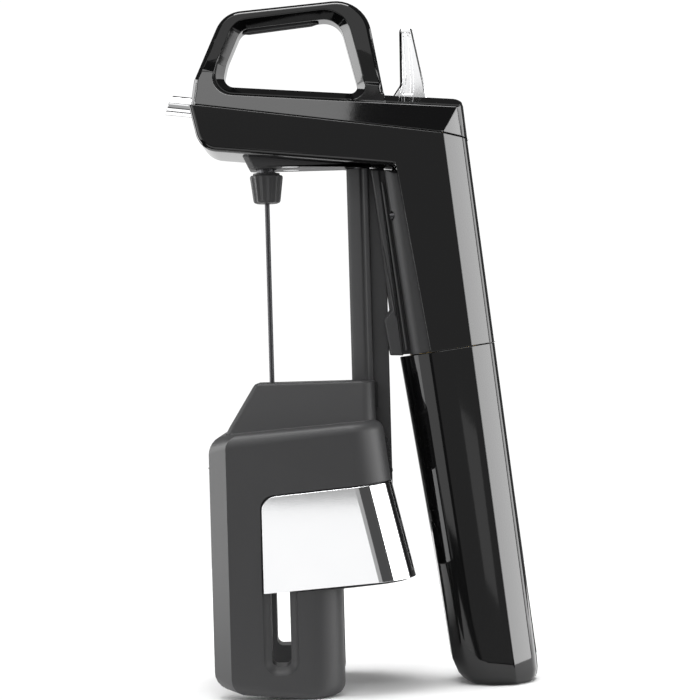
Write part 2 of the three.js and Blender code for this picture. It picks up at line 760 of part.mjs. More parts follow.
// ---- Capsule, cup and regulator, in the handle's frame ----
function makeHandle() {
  const collarLow = seam - collarDrop;
  const bodyHigh = seam + regulatorLength;
  const pierceHigh = seam + 7;
  const collar = [
    [capsuleRadius + gap, collarLow],
    [collarRadius, collarLow],
    [collarRadius, seam + 1.2],
    [regulatorRadius, seam + 1.2],
    [regulatorRadius, bodyHigh],
    [pistonRadius + run, bodyHigh],
    [pistonRadius + run, seam + 14],
    [1.6, seam + 14],
    [1.6, pierceHigh],
    [capsuleRadius + gap, pierceHigh - 2],
    [capsuleRadius + gap, collarLow],
  ];
  piece("regulator_body", turned(collar, handle, 28), brass);
  const capLow = bodyHigh + gap;
  piece("regulator_cap", ring(1.9, regulatorRadius, capLow, capLow + 4, handle), brass);

  const pistonLow = seam + 15.2;
  const piston = [
    [0, pistonLow],
    [pistonRadius, pistonLow],
    [pistonRadius, pistonLow + 3],
    [2, pistonLow + 3],
    [2, pistonLow + 5],
    [0, pistonLow + 5],
  ];
  piece("regulator_piston", turned(piston, handle), brass);
  const springLow = pistonLow + 3 + 0.7;
  const springHigh = capLow - 0.7;
  const springPlace = handle.clone().multiply(at(0, 0, springLow));
  piece("regulator_spring", coil(3.9, 0.55, springHigh - springLow, 4, springPlace), steel);

  const capsuleHigh = seam + 1.5;
  const neckHigh = capsuleHigh;
  const capsuleLow = neckHigh - capsuleLength;
  const capsule = [
    [0, capsuleLow],
    [capsuleRadius * 0.55, capsuleLow + 0.8],
    [capsuleRadius * 0.9, capsuleLow + 4],
    [capsuleRadius, capsuleLow + 8],
    [capsuleRadius, neckHigh - 17],
    [capsuleRadius * 0.75, neckHigh - 11],
    [4, neckHigh - 7.5],
    [4, neckHigh],
    [0, neckHigh],
  ];
  piece("capsule", turned(capsule, handle, 24), steel);
  const gasketLow = neckHigh + 0.1;
  piece("capsule_gasket", ring(1.8, 4.2, gasketLow, gasketLow + 1.4, handle, 16), rubber);
  const pin = [[0, neckHigh + 0.3], [1.3, neckHigh + 2.2], [1.3, seam + 12.5], [0, seam + 12.5]];
  piece("piercing_pin", turned(pin, handle, 12), steel);

  // The cup follows the handle's taper; its foot is cut level with the surface it stands on.
  const plan = (z, front, rear, side, lean) =>
    section(
      handleHalf(z) - front,
      handleHalf(z) - rear,
      handleHalf(z) - side,
      [handleRound * 0.75, handleRound * 0.75, 4],
      [handleRound, handleRound * 1.25, 5],
    ).map(([x, y]) => new THREE.Vector3(x, y, z - lean * x * Math.tan(handleTilt)).applyMatrix4(handle));
  const rings = [
    plan(-0.5, 6.6, 2.1, 2.7, 1),
    plan(1.4, 3.4, 0.7, 1, 1),
    plan(4, 1.3, 0, 0.2, 0.9),
    plan(8.5, 0, 0, 0, 0.8),
    plan(seam - 12, 0, 0, 0, 0),
    plan(seam - gap / 2, 0, 0, 0, 0),
  ];
  const capsuleRoom = capsuleRadius + 1.4;
  const collarRoom = collarRadius + run;
  const bore = [
    [0, cupFloor],
    [capsuleRoom, cupFloor],
    [capsuleRoom, collarLow - 9],
    [collarRoom, collarLow - 8],
    [collarRoom, seam + 5],
    [0, seam + 5],
  ];
  const groundCut = block(-far, far, -far, far, -far, 0);
  const cup = loft(rings).subtract(turned(bore, handle, 28)).subtract(groundCut);
  piece("capsule_cup", cup, glossBlack);
  piece("cup_cushion", rod(capsuleRoom - 0.4, cupFloor + 0.1, capsuleLow - 0.1, handle), rubber);
}

// ---- Clamp ----
const upperBushLow = blockTop - 0.6 - bushLength;
const lowerBushLow = stopScrewZ + 2.4 + 0.4;
const jawPinY = jawFace + jawSheet / 2;

const clampRear = (z) => {
  if (z > bandTop + 3) {
    const share = (z - bandTop - 3) / (shoulderTop + 2.5 - bandTop - 3);
    return clampRearBand + share * (clampRearTop - clampRearBand);
  }
  const share = (z - bandTop - 3) / (bandFoot + 4 - bandTop - 3);
  return clampRearBand + share * (clampRearFoot - clampRearBand);
};

function clampRing(z, inset, rearZ = z) {
  const frontRound = [clampBevelBack, clampBevelIn, 1];
  const round = clampRound - inset;
  const plan = section(clampFront - inset, clampRear(rearZ) - inset, clampHalf - inset, frontRound, [round, round, 6]);
  return plan.map(([x, y]) => new THREE.Vector3(x, y, z));
}

// The clamp's round body between the feet of the band and the shoulder, moved in by an inset.
function clampCrown(inset) {
  const kink = bandTop + 3;
  return loft([clampRing(bandFoot - 6, inset), clampRing(kink, inset), clampRing(shoulderTop + 2.5, inset)]);
}

function bandWindow(grown) {
  const foot = (x) => bandFoot + bandFootClimb * x - grown;
  const top = (x) => bandTop + bandTopClimb * x + grown;
  const front = -bandFront - grown;
  return sidePlate([[front, foot(front)], [far, foot(far)], [far, top(far)], [front, top(front), 4]], far);
}

const jawSpace = (side) => {
  const y0 = side * (neckHalf - 1);
  const y1 = side * 25.2;
  return block(-jawHalf - 1.6, jawHalf + 1.6, Math.min(y0, y1), Math.max(y0, y1), jawFoot - 3, neckTop);
};

function slotBehindRail(half, foot) {
  return block(railFront + railHead + 3, far, -half, half, foot, shoulderTop + 20);
}

function makeClamp() {
  const crown = clampCrown(0).intersect(
    sidePlate(
      [
        [-far, bandFoot],
        [legRear - 3, bandFoot + bandFootClimb * (legRear - 3)],
        [far, bandFoot + bandFootClimb * far],
        [far, shoulderTop + 2.6],
        [clampRearTop, shoulderTop + 2.6],
        [-clampFront + 5.5, shoulderTop - 0.4],
        [-clampFront, shoulderTop - 5.5],
        [-far, shoulderTop - 5.5],
      ],
      far,
    ),
  );
  const legPlan = section(
    clampFront,
    legRear,
    clampHalf,
    [clampBevelBack, clampBevelIn, 1],
    [legRound, legRound, 5],
  );
  const legRing = (z) => legPlan.map(([x, y]) => new THREE.Vector3(x, y, z));
  const footLine = [
    [-far, 0.1 * (far - 6)],
    [6, 0],
    [legRear - 3, 0],
    [legRear, 2.5],
    [far, 2.5],
    [far, far],
    [-far, far],
  ];
  const legs = loft([legRing(0), legRing(bandFoot + 4)]).intersect(sidePlate(footLine, far));

  const blockSection = (z, front, half) =>
    section(front, blockRear, half, [3, 3, 1], [5, 5, 3]).map(([x, y]) => new THREE.Vector3(x, y, z));
  const top = loft([
    blockSection(shoulderTop - 12, blockFrontFoot + 3, blockHalfFoot + 1.5),
    blockSection(shoulderTop + 1, blockFrontFoot - 0.6, blockHalfFoot - 0.4),
    blockSection(blockTop - 0.8, blockFrontTop, blockHalfTop),
    blockSection(blockTop, blockFrontTop - 1, blockHalfTop - 0.8),
  ]);

  const neck = block(-far, neckRear, -neckHalf, neckHalf, -far, neckTop);
  const legGap = block(-far, far, -legInner, legInner, -far, bandFoot);
  const rearGap = block(neckRear, far, -legInner, legInner, -far, bandFoot - 1);
  const windowOutline = (grown) => [
    [-windowFront - grown, windowFoot - grown, windowRound],
    [windowRear + grown, windowFoot - grown, windowRound],
    [windowRear + grown, bandFoot + 6],
    [-windowFront - grown, bandFoot + 6],
  ];
  const recess = sidePlate(windowOutline(windowRim), clampHalf + 5).subtract(sidePlate(windowOutline(windowRim + 1), clampHalf - 1.6));
  const chamber = planPrism([[-9, -11, 4], [20, -11, 4], [20, 11, 4], [-9, 11, 4]], neckTop + 2.5, blockTop - 4, 3);
  const ceilingHole = rod(8.6, neckTop - 2, neckTop + 4);
  const rearChannel = planPrism(railPlan(gap, far), bandFoot - 9, blockTop + 5);
  const bushRoom = (low, high) => planPrism(railPlan(bushWall + 2 * gap, far), low - gap, high + gap);
  const stopGroove = block(railFront - 2.6, railFront + 1, -3.2, 3.2, 0, lowerBushLow);
  const pinHoles = sides
    .map(([side]) => rod(jawPinRadius + 0.05, -jawHalf - 4.6, jawHalf + 4.6, lyingX(0, side * jawPinY, jawPivot), 16))
    .reduce((a, b) => a.add(b));
  const pocket = clampCrown(-3).subtract(clampCrown(bandSheet - bandProud + gap)).intersect(bandWindow(0.4));

  let housing = crown
    .add(legs)
    .add(top)
    .subtract(neck)
    .subtract(legGap)
    .subtract(rearGap)
    .subtract(sidePlate(windowOutline(0), far))
    .subtract(recess)
    .subtract(chamber)
    .subtract(ceilingHole)
    .subtract(rod(guideRadius + gap, neckTop, blockTop + 5))
    .subtract(rearChannel)
    .subtract(bushRoom(upperBushLow, blockTop))
    .subtract(bushRoom(lowerBushLow, lowerBushLow + bushLength))
    .subtract(stopGroove)
    .subtract(slotBehindRail(slotHalf, slotFoot))
    .subtract(pinHoles)
    .subtract(pocket);
  for (const [side] of sides) housing = housing.subtract(jawSpace(side));
  piece("clamp_housing", housing, satinGrey);

  const band = clampCrown(-bandProud)
    .subtract(clampCrown(bandSheet - bandProud))
    .intersect(bandWindow(0))
    .intersect(block(-far, far, -far, far, 0, blockTop))
    .subtract(slotBehindRail(slotHalf, slotFoot));
  const badgeFrame = lyingX(clampRear(badgeZ) + bandProud, 0, badgeZ).multiply(
    new THREE.Matrix4().makeRotationY(-Math.atan((clampRearFoot - clampRearBand) / (bandTop - bandFoot - 1))),
  );
  const oval = (grown) => rod(4.6 + grown, -0.8 - grown, 0.3 + 3 * grown, badgeFrame.clone().scale(new THREE.Vector3(1, 1.5, 1)), 24);
  piece("chrome_band", band.subtract(oval(0.15)), chrome);
  piece("rear_badge", oval(0), satinGrey);

  for (const [side, name] of sides) {
    const z0 = bandTop + 5.5;
    const rear = (z) => clampRear(z) + 0.3;
    const teeth = 5;
    const pitch = 2.4;
    const corners = [[rear(z0), z0]];
    for (let i = 0; i < teeth; i++) {
      corners.push([rear(z0 + (i + 0.3) * pitch) + 1.1, z0 + (i + 0.3) * pitch]);
      corners.push([rear(z0 + (i + 0.8) * pitch) + 0.5, z0 + (i + 0.8) * pitch]);
    }
    const high = z0 + teeth * pitch;
    corners.push([rear(high), high]);
    const y0 = side * (slotHalf + 0.6);
    const y1 = side * (slotHalf + 5);
    const ribs = sidePlate(corners, 20).intersect(block(-far, far, Math.min(y0, y1), Math.max(y0, y1), 0, far));
    piece(`rear_grip_${name}`, ribs, rubber);
  }
}

// Glide bushes line the channel at its top and foot, open behind for the rail's neck.

function makeBushes() {
  const rear = railFront + railHead + bushWall;
  for (const [name, low] of [["upper_bush", upperBushLow], ["lower_bush", lowerBushLow]]) {
    const sleeve = planPrism(railPlan(run + bushWall, rear), low, low + bushLength)
      .subtract(planPrism(railPlan(run, far), low - 1, low + bushLength + 1))
      .intersect(block(-far, rear, -far, far, 0, far));
    piece(name, sleeve, rubber);
  }
}

// ---- Jaws, lip pad and guide ----

function makeJaws() {
  const guideTop = blockTop - 0.2;
  const flange = neckTop + 2.6;
  const guide = [
    [needleRadius + 0.15, neckTop + 0.4],
    [8.3, neckTop + 0.4],
    [8.3, flange - 0.6],
    [guideRadius, flange - 0.6],
    [guideRadius, guideTop],
    [needleRadius + 0.9, guideTop],
    [needleRadius + 0.15, guideTop - 2],
    [needleRadius + 0.15, neckTop + 0.4],
  ];
  piece("needle_guide", turned(guide, undefined, 20), satinGrey);
  piece("lip_pad", ring(3, neckHalf - 1, neckTop - 2.3, neckTop - gap / 2, undefined, 28), rubber);

  for (const [side, name] of sides) {
    const inner = side * jawFace;
    const outer = side * (jawFace + jawSheet);
    const [y0, y1] = [Math.min(inner, outer), Math.max(inner, outer)];
    const plate = block(-jawHalf, jawHalf, y0, y1, jawFoot, jawPivot - 3.4);
    const pin = lyingX(0, side * jawPinY, jawPivot);
    const earOf = (x0, x1) => rod(2.5, x0, x1, pin, 16).add(block(x0, x1, y0, y1, jawPivot - 4, jawPivot - 1));
    const ears = earOf(-jawHalf, -6).add(earOf(6, jawHalf));
    const hole = rod(jawPinRadius + 0.08, -jawHalf - 2, jawHalf + 2, pin, 16);
    piece(`${name}_jaw`, plate.add(ears).subtract(hole), satinGrey);
    piece(`${name}_jaw_pin`, rod(jawPinRadius, -jawHalf - 4, jawHalf + 4, pin, 16), steel);
    const springPlace = lyingX(-5, side * jawPinY, jawPivot);
    piece(`${name}_jaw_spring`, coil(1.9, 0.38, 10, 6, springPlace), steel);

    // The pad's face is a shallow hollow that centres the neck.
    const face = side * (jawFace - gap);
    const lip = side * (jawFace - gap - jawPad);
    const [p0, p1] = [Math.min(face, lip), Math.max(face, lip)];
    const neckRadius = 30;
    const hollow = rod(neckRadius, 0, far, at(0, -side * (neckRadius - (jawFace - gap - 0.9)), 0), 64);
    const pad = block(-jawHalf + 1, jawHalf - 1, p0, p1, jawFoot + 1.5, jawPivot - 5).subtract(hollow);
    piece(`${name}_jaw_pad`, pad, rubber);
  }
}

makeHeadShells();
makeRail();
makeFrameScrews();
makeNeedle();
makeTrigger();
makeHandle();
makeClamp();
makeBushes();
makeJaws();

export default opener;
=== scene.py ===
from math import atan2, cos, pi, radians, sin, tan

import bmesh
import bpy
from mathutils import Matrix, Vector


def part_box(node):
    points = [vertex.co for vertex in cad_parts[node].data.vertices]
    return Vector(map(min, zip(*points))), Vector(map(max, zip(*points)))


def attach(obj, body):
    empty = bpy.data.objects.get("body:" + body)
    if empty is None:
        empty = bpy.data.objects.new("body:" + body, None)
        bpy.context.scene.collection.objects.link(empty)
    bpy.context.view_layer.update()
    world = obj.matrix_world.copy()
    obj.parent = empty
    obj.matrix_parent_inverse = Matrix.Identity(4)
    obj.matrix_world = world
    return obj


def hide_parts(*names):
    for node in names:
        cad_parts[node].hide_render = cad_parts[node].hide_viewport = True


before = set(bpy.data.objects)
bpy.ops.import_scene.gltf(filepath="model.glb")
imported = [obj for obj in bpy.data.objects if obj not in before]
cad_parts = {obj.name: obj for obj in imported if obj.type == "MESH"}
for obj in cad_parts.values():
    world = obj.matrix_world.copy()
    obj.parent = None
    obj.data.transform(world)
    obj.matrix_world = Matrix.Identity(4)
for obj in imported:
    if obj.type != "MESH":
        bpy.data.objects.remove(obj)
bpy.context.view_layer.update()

mm = 0.001
needleLow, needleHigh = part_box("needle")
needleX = (needleLow.x + needleHigh.x) / 2
tau = 2 * pi
print("frame loaded, needle at", round(needleX, 5))


# Lengths below are millimetres: x from the needle's axis, z from the table.
def point(x, y, z):
    return Vector((needleX + x * mm, y * mm, z * mm))


# Lines of the head and the handle; heights fall slightly towards the rear.
tilt = radians(7.25)
handleFoot = 70.8


def underside(x):
    return 171 - 0.113 * x


def parting(x):
    return 184.25 - 0.14 * x


def deck(x):
    return 193.2 - 0.08 * x


def handleHalf(z):
    return 13.3 + 0.0205 * z


def onHandle(u, w, z):
    return point(handleFoot + u * cos(tilt) - z * sin(tilt), w, u * sin(tilt) + z * cos(tilt))


def handlePlace(u=0, w=0, z=0):
    return Matrix.Translation(onHandle(u, w, z)) @ Matrix.Rotation(-tilt, 4, "Y")


def standing(x, y, z):
    return Matrix.Translation(point(x, y, z))


def lyingAlongX(x, y, z):
    return standing(x, y, z) @ Matrix.Rotation(pi / 2, 4, "Y")


def lyingAlongY(x, y, z):
    return standing(x, y, z) @ Matrix.Rotation(-pi / 2, 4, "X")


# Corners are (x, z, radius); each radius turns into a true arc.
def outline(corners, steps=6):
    points = []
    count = len(corners)
    for i, (x, z, radius) in enumerate(corners):
        here = Vector((x, z))
        back = (Vector(corners[i - 1][:2]) - here).normalized()
        ahead = (Vector(corners[(i + 1) % count][:2]) - here).normalized()
        if not radius:
            points.append((x, z))
            continue
        half = back.angle(ahead) / 2
        centre = here + (back + ahead).normalized() * (radius / sin(half))
        start = here + back * (radius / tan(half)) - centre
        end = here + ahead * (radius / tan(half)) - centre
        first = atan2(start.y, start.x)
        turn = (atan2(end.y, end.x) - first + pi) % tau - pi
        for k in range(steps + 1):
            angle = first + turn * k / steps
            points.append((centre.x + radius * cos(angle), centre.y + radius * sin(angle)))
    return points


# Each edge moves in by its own distance; corners run counter-clockwise and keep their number.
def insetCorners(corners, distance, shares=None):
    count = len(corners)
    shares = shares or [1] * count
    moved = []
    for i, (x, z, radius) in enumerate(corners):
        here = Vector((x, z))
        into = (here - Vector(corners[i - 1][:2])).normalized()
        away = (Vector(corners[(i + 1) % count][:2]) - here).normalized()
        d0, d1 = distance * shares[i - 1], distance * shares[i]
        n0, n1 = Vector((-into.y, into.x)), Vector((-away.y, away.x))
        cross = n0.x * n1.y - n0.y * n1.x
        if abs(cross) < 1e-4:
            spot = here + n1 * d1
        else:
            a, b = here.dot(n0) + d0, here.dot(n1) + d1
            spot = Vector(((a * n1.y - b * n0.y) / cross, (b * n0.x - a * n1.x) / cross))
        if radius:
            lesser = min(d0, d1) if abs(d0) < abs(d1) or d0 > 0 else max(d0, d1)
            radius = max(0.08, radius - lesser if cross > 0 else radius + lesser)
        moved.append((spot.x, spot.y, radius))
    return moved


def makeObject(name, mesh):
    made = bpy.data.objects.new(name, mesh)
    bpy.context.scene.collection.objects.link(made)
    return made


def solid(name, rings, closed=True):
    work = bmesh.new()
    rows = [[work.verts.new(p) for p in ring] for ring in rings]
    count = len(rows[0])
    for low, high in zip(rows, rows[1:]):
        for i in range(count):
            j = (i + 1) % count
            work.faces.new((low[i], low[j], high[j], high[i]))
    if closed:
        work.faces.new(list(reversed(rows[0])))
        work.faces.new(rows[-1])
    bmesh.ops.remove_doubles(work, verts=work.verts, dist=1e-7)
    bmesh.ops.recalc_face_normals(work, faces=work.faces)
    mesh = bpy.data.meshes.new(name)
    work.to_mesh(mesh)
    work.free()
    return makeObject(name, mesh)


# An outline in side view drawn out along y; layers are (y, distance moved in).
def sidePlate(name, corners, layers, shares=None, steps=6):
    rings = []
    for y, inset in layers:
        listed = isinstance(inset, (list, tuple))
        moved = insetCorners(corners, 1, inset) if listed else insetCorners(corners, inset, shares)
        flat = outline(moved, steps)
        rings.append([point(x, y, z) for x, z in flat])
    return solid(name, rings)


def plate(name, corners, half, edge=0.0, steps=6):
    if not edge:
        return sidePlate(name, corners, [(-half, 0), (half, 0)], None, steps)
    layers = [(-half, edge), (edge - half, 0), (half - edge, 0), (half, edge)]
    return sidePlate(name, corners, layers, None, steps)


def planPrism(name, flat, low, high):
    return solid(name, [[point(x, y, low) for x, y in flat], [point(x, y, high) for x, y in flat]])


def block(name, x0, x1, y0, y1, z0, z1):
    return planPrism(name, [(x0, y0), (x1, y0), (x1, y1), (x0, y1)], z0, z1)


# A profile of (radius, height) turned about an axis, closed at both ends.
def turned(name, profile, place, sides=48, flutes=None):
    rings = []
    for k, (radius, height) in enumerate(profile):
        ring = []
        for i in range(sides):
            angle = tau * i / sides
            reach = radius * (1 - flutes(angle, k)) if flutes else radius
            ring.append(place @ Vector((reach * cos(angle) * mm, reach * sin(angle) * mm, height * mm)))
        rings.append(ring)
    return solid(name, rings)


def rod(name, radius, low, high, place, sides=32):
    return turned(name, [(radius, low), (radius, high)], place, sides)


def settle(piece):
    graph = bpy.context.evaluated_depsgraph_get()
    made = bpy.data.meshes.new_from_object(piece.evaluated_get(graph))
    old = piece.data
    piece.modifiers.clear()
    piece.data = made
    bpy.data.meshes.remove(old)


def combine(piece, others, operation="DIFFERENCE"):
    for other in others:
        before = len(piece.data.polygons)
        for solver in ("MANIFOLD", "EXACT"):
            modifier = piece.modifiers.new("cut", "BOOLEAN")
            modifier.object = other
            modifier.operation = operation
            modifier.solver = solver
            graph = bpy.context.evaluated_depsgraph_get()
            faces = len(piece.evaluated_get(graph).data.polygons)
            if faces:
                break
            piece.modifiers.clear()
        settle(piece)
        if not len(piece.data.polygons):
            print("empty after", other.name, "on", piece.name, before)
        bpy.data.objects.remove(other)
    return piece


def cut(piece, *others):
    return combine(piece, others)


def keep(piece, other):
    return combine(piece, [other], "INTERSECT")


def join(piece, *others):
    return combine(piece, others, "UNION")


def tidyMesh(piece, flatter=0.4):
    work = bmesh.new()
    work.from_mesh(piece.data)
    bmesh.ops.remove_doubles(work, verts=work.verts, dist=4e-6)
    bmesh.ops.dissolve_degenerate(work, edges=work.edges, dist=4e-6)
    bmesh.ops.dissolve_limit(work, angle_limit=radians(flatter), verts=work.verts, edges=work.edges)
    bmesh.ops.recalc_face_normals(work, faces=work.faces)
    work.to_mesh(piece.data)
    work.free()


# Sharp edges get a bevel, except where `plain` keeps them crisp.
def weighEdges(piece, angle, plain):
    work = bmesh.new()
    work.from_mesh(piece.data)
    weight = work.edges.layers.float.new("bevel_weight_edge")
    for edge in work.edges:
        middle = (edge.verts[0].co + edge.verts[1].co) / 2
        if edge.calc_face_angle(0) > radians(angle):
            edge[weight] = 0.0 if plain(middle) else 1.0
            edge.smooth = not plain(middle)
    work.to_mesh(piece.data)
    work.free()


def soften(piece, width=0.3, segments=2, angle=30, plain=None):
    for face in piece.data.polygons:
        face.use_smooth = True
    if plain:
        weighEdges(piece, angle, plain)
    if width:
        bevel = piece.modifiers.new("edges", "BEVEL")
        bevel.width = width * mm
        bevel.segments = segments
        bevel.limit_method = "WEIGHT" if plain else "ANGLE"
        bevel.angle_limit = radians(angle)
        bevel.use_clamp_overlap = False
        bevel.harden_normals = False
        bevel.miter_outer = "MITER_ARC"
    normals = piece.modifiers.new("normals", "WEIGHTED_NORMAL")
    normals.weight = 80
    normals.keep_sharp = True


def finish(piece, body, material, replaced, width=0.3, segments=2, angle=30, plain=None):
    tidyMesh(piece)
    soften(piece, width, segments, angle, plain)
    piece.data.materials.clear()
    piece.data.materials.append(material)
    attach(piece, body)
    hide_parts(*replaced)
    return piece


# A shader socket that can be added, multiplied and so on, each making its Math node.
class Wire:
    def __init__(self, paint, socket):
        self.paint = paint
        self.socket = socket

    def math(self, operation, a, b):
        return self.paint.node("ShaderNodeMath", {"operation": operation}, {0: a, 1: b})

    def __add__(self, other):
        return self.math("ADD", self, other)

    def __radd__(self, other):
        return self.math("ADD", other, self)

    def __sub__(self, other):
        return self.math("SUBTRACT", self, other)

    def __rsub__(self, other):
        return self.math("SUBTRACT", other, self)

    def __mul__(self, other):
        return self.math("MULTIPLY", self, other)

    def __rmul__(self, other):
        return self.math("MULTIPLY", other, self)


class Paint:
    def __init__(self, name, **fixed):
        self.material = bpy.data.materials.new(name)
        self.material.use_nodes = True
        self.tree = self.material.node_tree
        self.shader = next(n for n in self.tree.nodes if n.type == "BSDF_PRINCIPLED")
        for socket, value in fixed.items():
            self.shader.inputs[socket.replace("_", " ")].default_value = value
        self.place = self.node("ShaderNodeTexCoord", {}, {}, "Object")

    def node(self, kind, settings, inputs, out=0):
        made = self.tree.nodes.new(kind)
        for key, value in settings.items():
            if key == "stops":
                while len(made.color_ramp.elements) < len(value):
                    made.color_ramp.elements.new(0.5)
                for element, (position, shade) in zip(made.color_ramp.elements, value):
                    element.position = position
                    element.color = (shade, shade, shade, 1)
            else:
                setattr(made, key, value)
        for socket, value in inputs.items():
            if isinstance(value, Wire):
                self.tree.links.new(value.socket, made.inputs[socket])
            else:
                made.inputs[socket].default_value = value
        return Wire(self, made.outputs[out])

    def feed(self, socket, wire):
        self.tree.links.new(wire.socket, self.shader.inputs[socket])

    def stretch(self, scale):
        return self.node("ShaderNodeVectorMath", {"operation": "MULTIPLY"}, {0: self.place, 1: scale})

    def noise(self, scale, detail=3.0, roughness=0.5, vector=None):
        inputs = {"Vector": vector or self.place, "Scale": scale, "Detail": detail, "Roughness": roughness}
        return self.node("ShaderNodeTexNoise", {}, inputs)

    def cells(self, scale, vector=None):
        return self.node("ShaderNodeTexVoronoi", {}, {"Vector": vector or self.place, "Scale": scale})

    def ramp(self, wire, *stops):
        return self.node("ShaderNodeValToRGB", {"stops": stops}, {0: wire})

    def shade(self, mask, dark, light):
        inputs = {0: mask, 6: (*dark, 1), 7: (*light, 1)}
        return self.node("ShaderNodeMix", {"data_type": "RGBA"}, inputs, 2)

    # painted highlight: lighter where the surface turns outwards, as if convex edges caught the light
    def edgeHighlightMask(self, first, last):
        pointed = self.node("ShaderNodeNewGeometry", {}, {}, "Pointiness")
        return self.ramp(pointed, (first, 0), (last, 1))

    def bump(self, height, distance, strength=1.0, below=None):
        inputs = {"Height": height, "Distance": distance * mm, "Strength": strength}
        if below:
            inputs["Normal"] = below
        return self.node("ShaderNodeBump", {}, inputs)


# Piano-black moulding: a faint orange peel, hairlines and a little dust.
def makeGlossBlack():
    look = {"base": (0.0028, 0.0028, 0.0030), "dusty": (0.0042, 0.0042, 0.0043), "roughness": 0.045}
    paint = Paint("glossBlack", Specular_IOR_Level=0.5)
    cloud = paint.noise(45, 4)
    dust = paint.ramp(paint.noise(2600, 2, 0.6), (0.62, 0), (0.78, 1))
    hair = paint.ramp(paint.noise(60, 6, 0.7, paint.stretch((1, 1, 26))), (0.60, 0), (0.72, 1))
    paint.feed("Base Color", paint.shade(dust * 0.5 + cloud * 0.4, look["base"], look["dusty"]))
    paint.feed("Roughness", look["roughness"] + cloud * 0.02 + hair * 0.015 + dust * 0.05)
    peel = paint.bump(paint.noise(320, 2), 0.0035)
    paint.feed("Normal", peel)
    return paint.material


# Moulded grey: fine spark-eroded grain, faint flow marks, a painted highlight that makes convex edges paler,
# and smoother edges.
def makeSatinGrey():
    look = {"dark": (0.036, 0.036, 0.037), "light": (0.052, 0.052, 0.0535), "edge": 0.35}
    paint = Paint("satinGrey", Specular_IOR_Level=0.42)
    grain = paint.noise(4200, 3, 0.65)
    flow = paint.noise(28, 4, 0.6, paint.stretch((1, 1, 0.35)))
    pit = paint.cells(2300)
    # painted highlight: convex edges are drawn paler in the base colour
    edgeHighlight = paint.edgeHighlightMask(0.52, 0.62)
    mask = flow * 0.55 + grain * 0.3 + edgeHighlight * look["edge"]
    paint.feed("Base Color", paint.shade(mask, look["dark"], look["light"]))
    paint.feed("Roughness", 0.40 + grain * 0.12 + flow * 0.05 - edgeHighlight * 0.08)
    coarse = paint.bump(pit, 0.012, 0.5)
    paint.feed("Normal", paint.bump(grain, 0.008, 0.6, coarse))
    return paint.material


# Bright chrome plate with faint polishing lines and smudges.
def makeChrome():
    paint = Paint("chrome", Metallic=1.0)
    smudge = paint.noise(70, 5, 0.6)
    lines = paint.noise(900, 3, 0.5, paint.stretch((1, 1, 14)))
    paint.feed("Base Color", paint.shade(smudge, (0.90, 0.905, 0.915), (0.96, 0.962, 0.968)))
    paint.feed("Roughness", 0.035 + smudge * 0.03 + lines * 0.02)
    paint.feed("Normal", paint.bump(lines, 0.0004))
    return paint.material


def makeMetal(name, dark, light, roughness, stretch, grain=1600):
    paint = Paint(name, Metallic=1.0)
    brushed = paint.noise(grain, 3, 0.6, paint.stretch(stretch))
    cloud = paint.noise(90, 4)
    # painted highlight: convex edges are drawn lighter in the base colour
    edgeHighlight = paint.edgeHighlightMask(0.53, 0.66)
    paint.feed("Base Color", paint.shade(brushed * 0.5 + cloud * 0.3 + edgeHighlight * 0.3, dark, light))
    paint.feed("Roughness", roughness + brushed * 0.12 + cloud * 0.06 - edgeHighlight * 0.08)
    paint.feed("Normal", paint.bump(brushed, 0.003))
    return paint.material


def makeRubber():
    paint = Paint("rubber", Specular_IOR_Level=0.3)
    grain = paint.noise(3000, 4, 0.7)
    cloud = paint.noise(110, 3)
    mask = grain * 0.5 + cloud * 0.4
    paint.feed("Base Color", paint.shade(mask, (0.010, 0.010, 0.0105), (0.026, 0.026, 0.027)))
    paint.feed("Roughness", 0.62 + grain * 0.2)
    paint.feed("Normal", paint.bump(grain, 0.02, 0.8))
    return paint.material


def makeClearTube():
    paint = Paint("clearTube", Transmission_Weight=0.6, IOR=1.45)
    haze = paint.noise(260, 3)
    rings = paint.node("ShaderNodeTexWave", {"bands_direction": "Z"}, {"Vector": paint.place, "Scale": 420.0})
    paint.feed("Base Color", paint.shade(haze, (0.62, 0.65, 0.66), (0.82, 0.84, 0.85)))
    paint.feed("Roughness", 0.18 + haze * 0.15)
    paint.feed("Normal", paint.bump(rings, 0.01, 0.4))
    return paint.material


glossBlack = makeGlossBlack()
satinGrey = makeSatinGrey()
chrome = makeChrome()
steel = makeMetal("steel", (0.40, 0.405, 0.415), (0.60, 0.605, 0.615), 0.22, (1, 1, 0.06))
brass = makeMetal("brass", (0.46, 0.32, 0.12), (0.66, 0.49, 0.22), 0.26, (0.1, 0.1, 1.6))
aluminium = makeMetal("aluminium", (0.55, 0.555, 0.56), (0.74, 0.745, 0.75), 0.30, (0.08, 1, 1))
coatedSteel = makeMetal("coatedSteel", (0.055, 0.055, 0.058), (0.12, 0.12, 0.125), 0.26, (1, 1, 0.05))
rubber = makeRubber()
clearTube = makeClearTube()
print("finishes made")


head = {
    "gap": 0.12,
    "lip": [(14.9, 0), (15.6, 0.12), (16.3, 0.52), (16.75, 1.1), (17.0, 1.9)],
}
seam = 108.4
far = 300


# The handle's section: flat sides, a facet towards the rear and a low crown behind.
def rearSection(h):
    half = [(h - 8.4, h), (h - 2.4, h - 6.0), (h - 1.2, h - 8.3), (h - 0.5, h - 10.9), (h - 0.1, h - 13.6)]
    return [(u, -w) for u, w in half] + [(h, 0)] + [(u, w) for u, w in reversed(half)]


def column(name, inset=0, low=-30, high=240):
    rings = []
    for z in (low, high):
        h = handleHalf(z) - inset
        flat = [(-150, h), (-150, -h)] + rearSection(h)
        rings.append([onHandle(u, w, z) for u, w in flat])
    return solid(name, rings)


def mirrored(layers):
    return [(-y, d) for y, d in reversed(layers)] + list(layers)


def aboveSeam(name):
    square = [(-far, -far), (far, -far), (far, far), (-far, far)]
    return solid(name, [[onHandle(u, w, z) for u, w in square] for z in (seam - 0.02, far)])


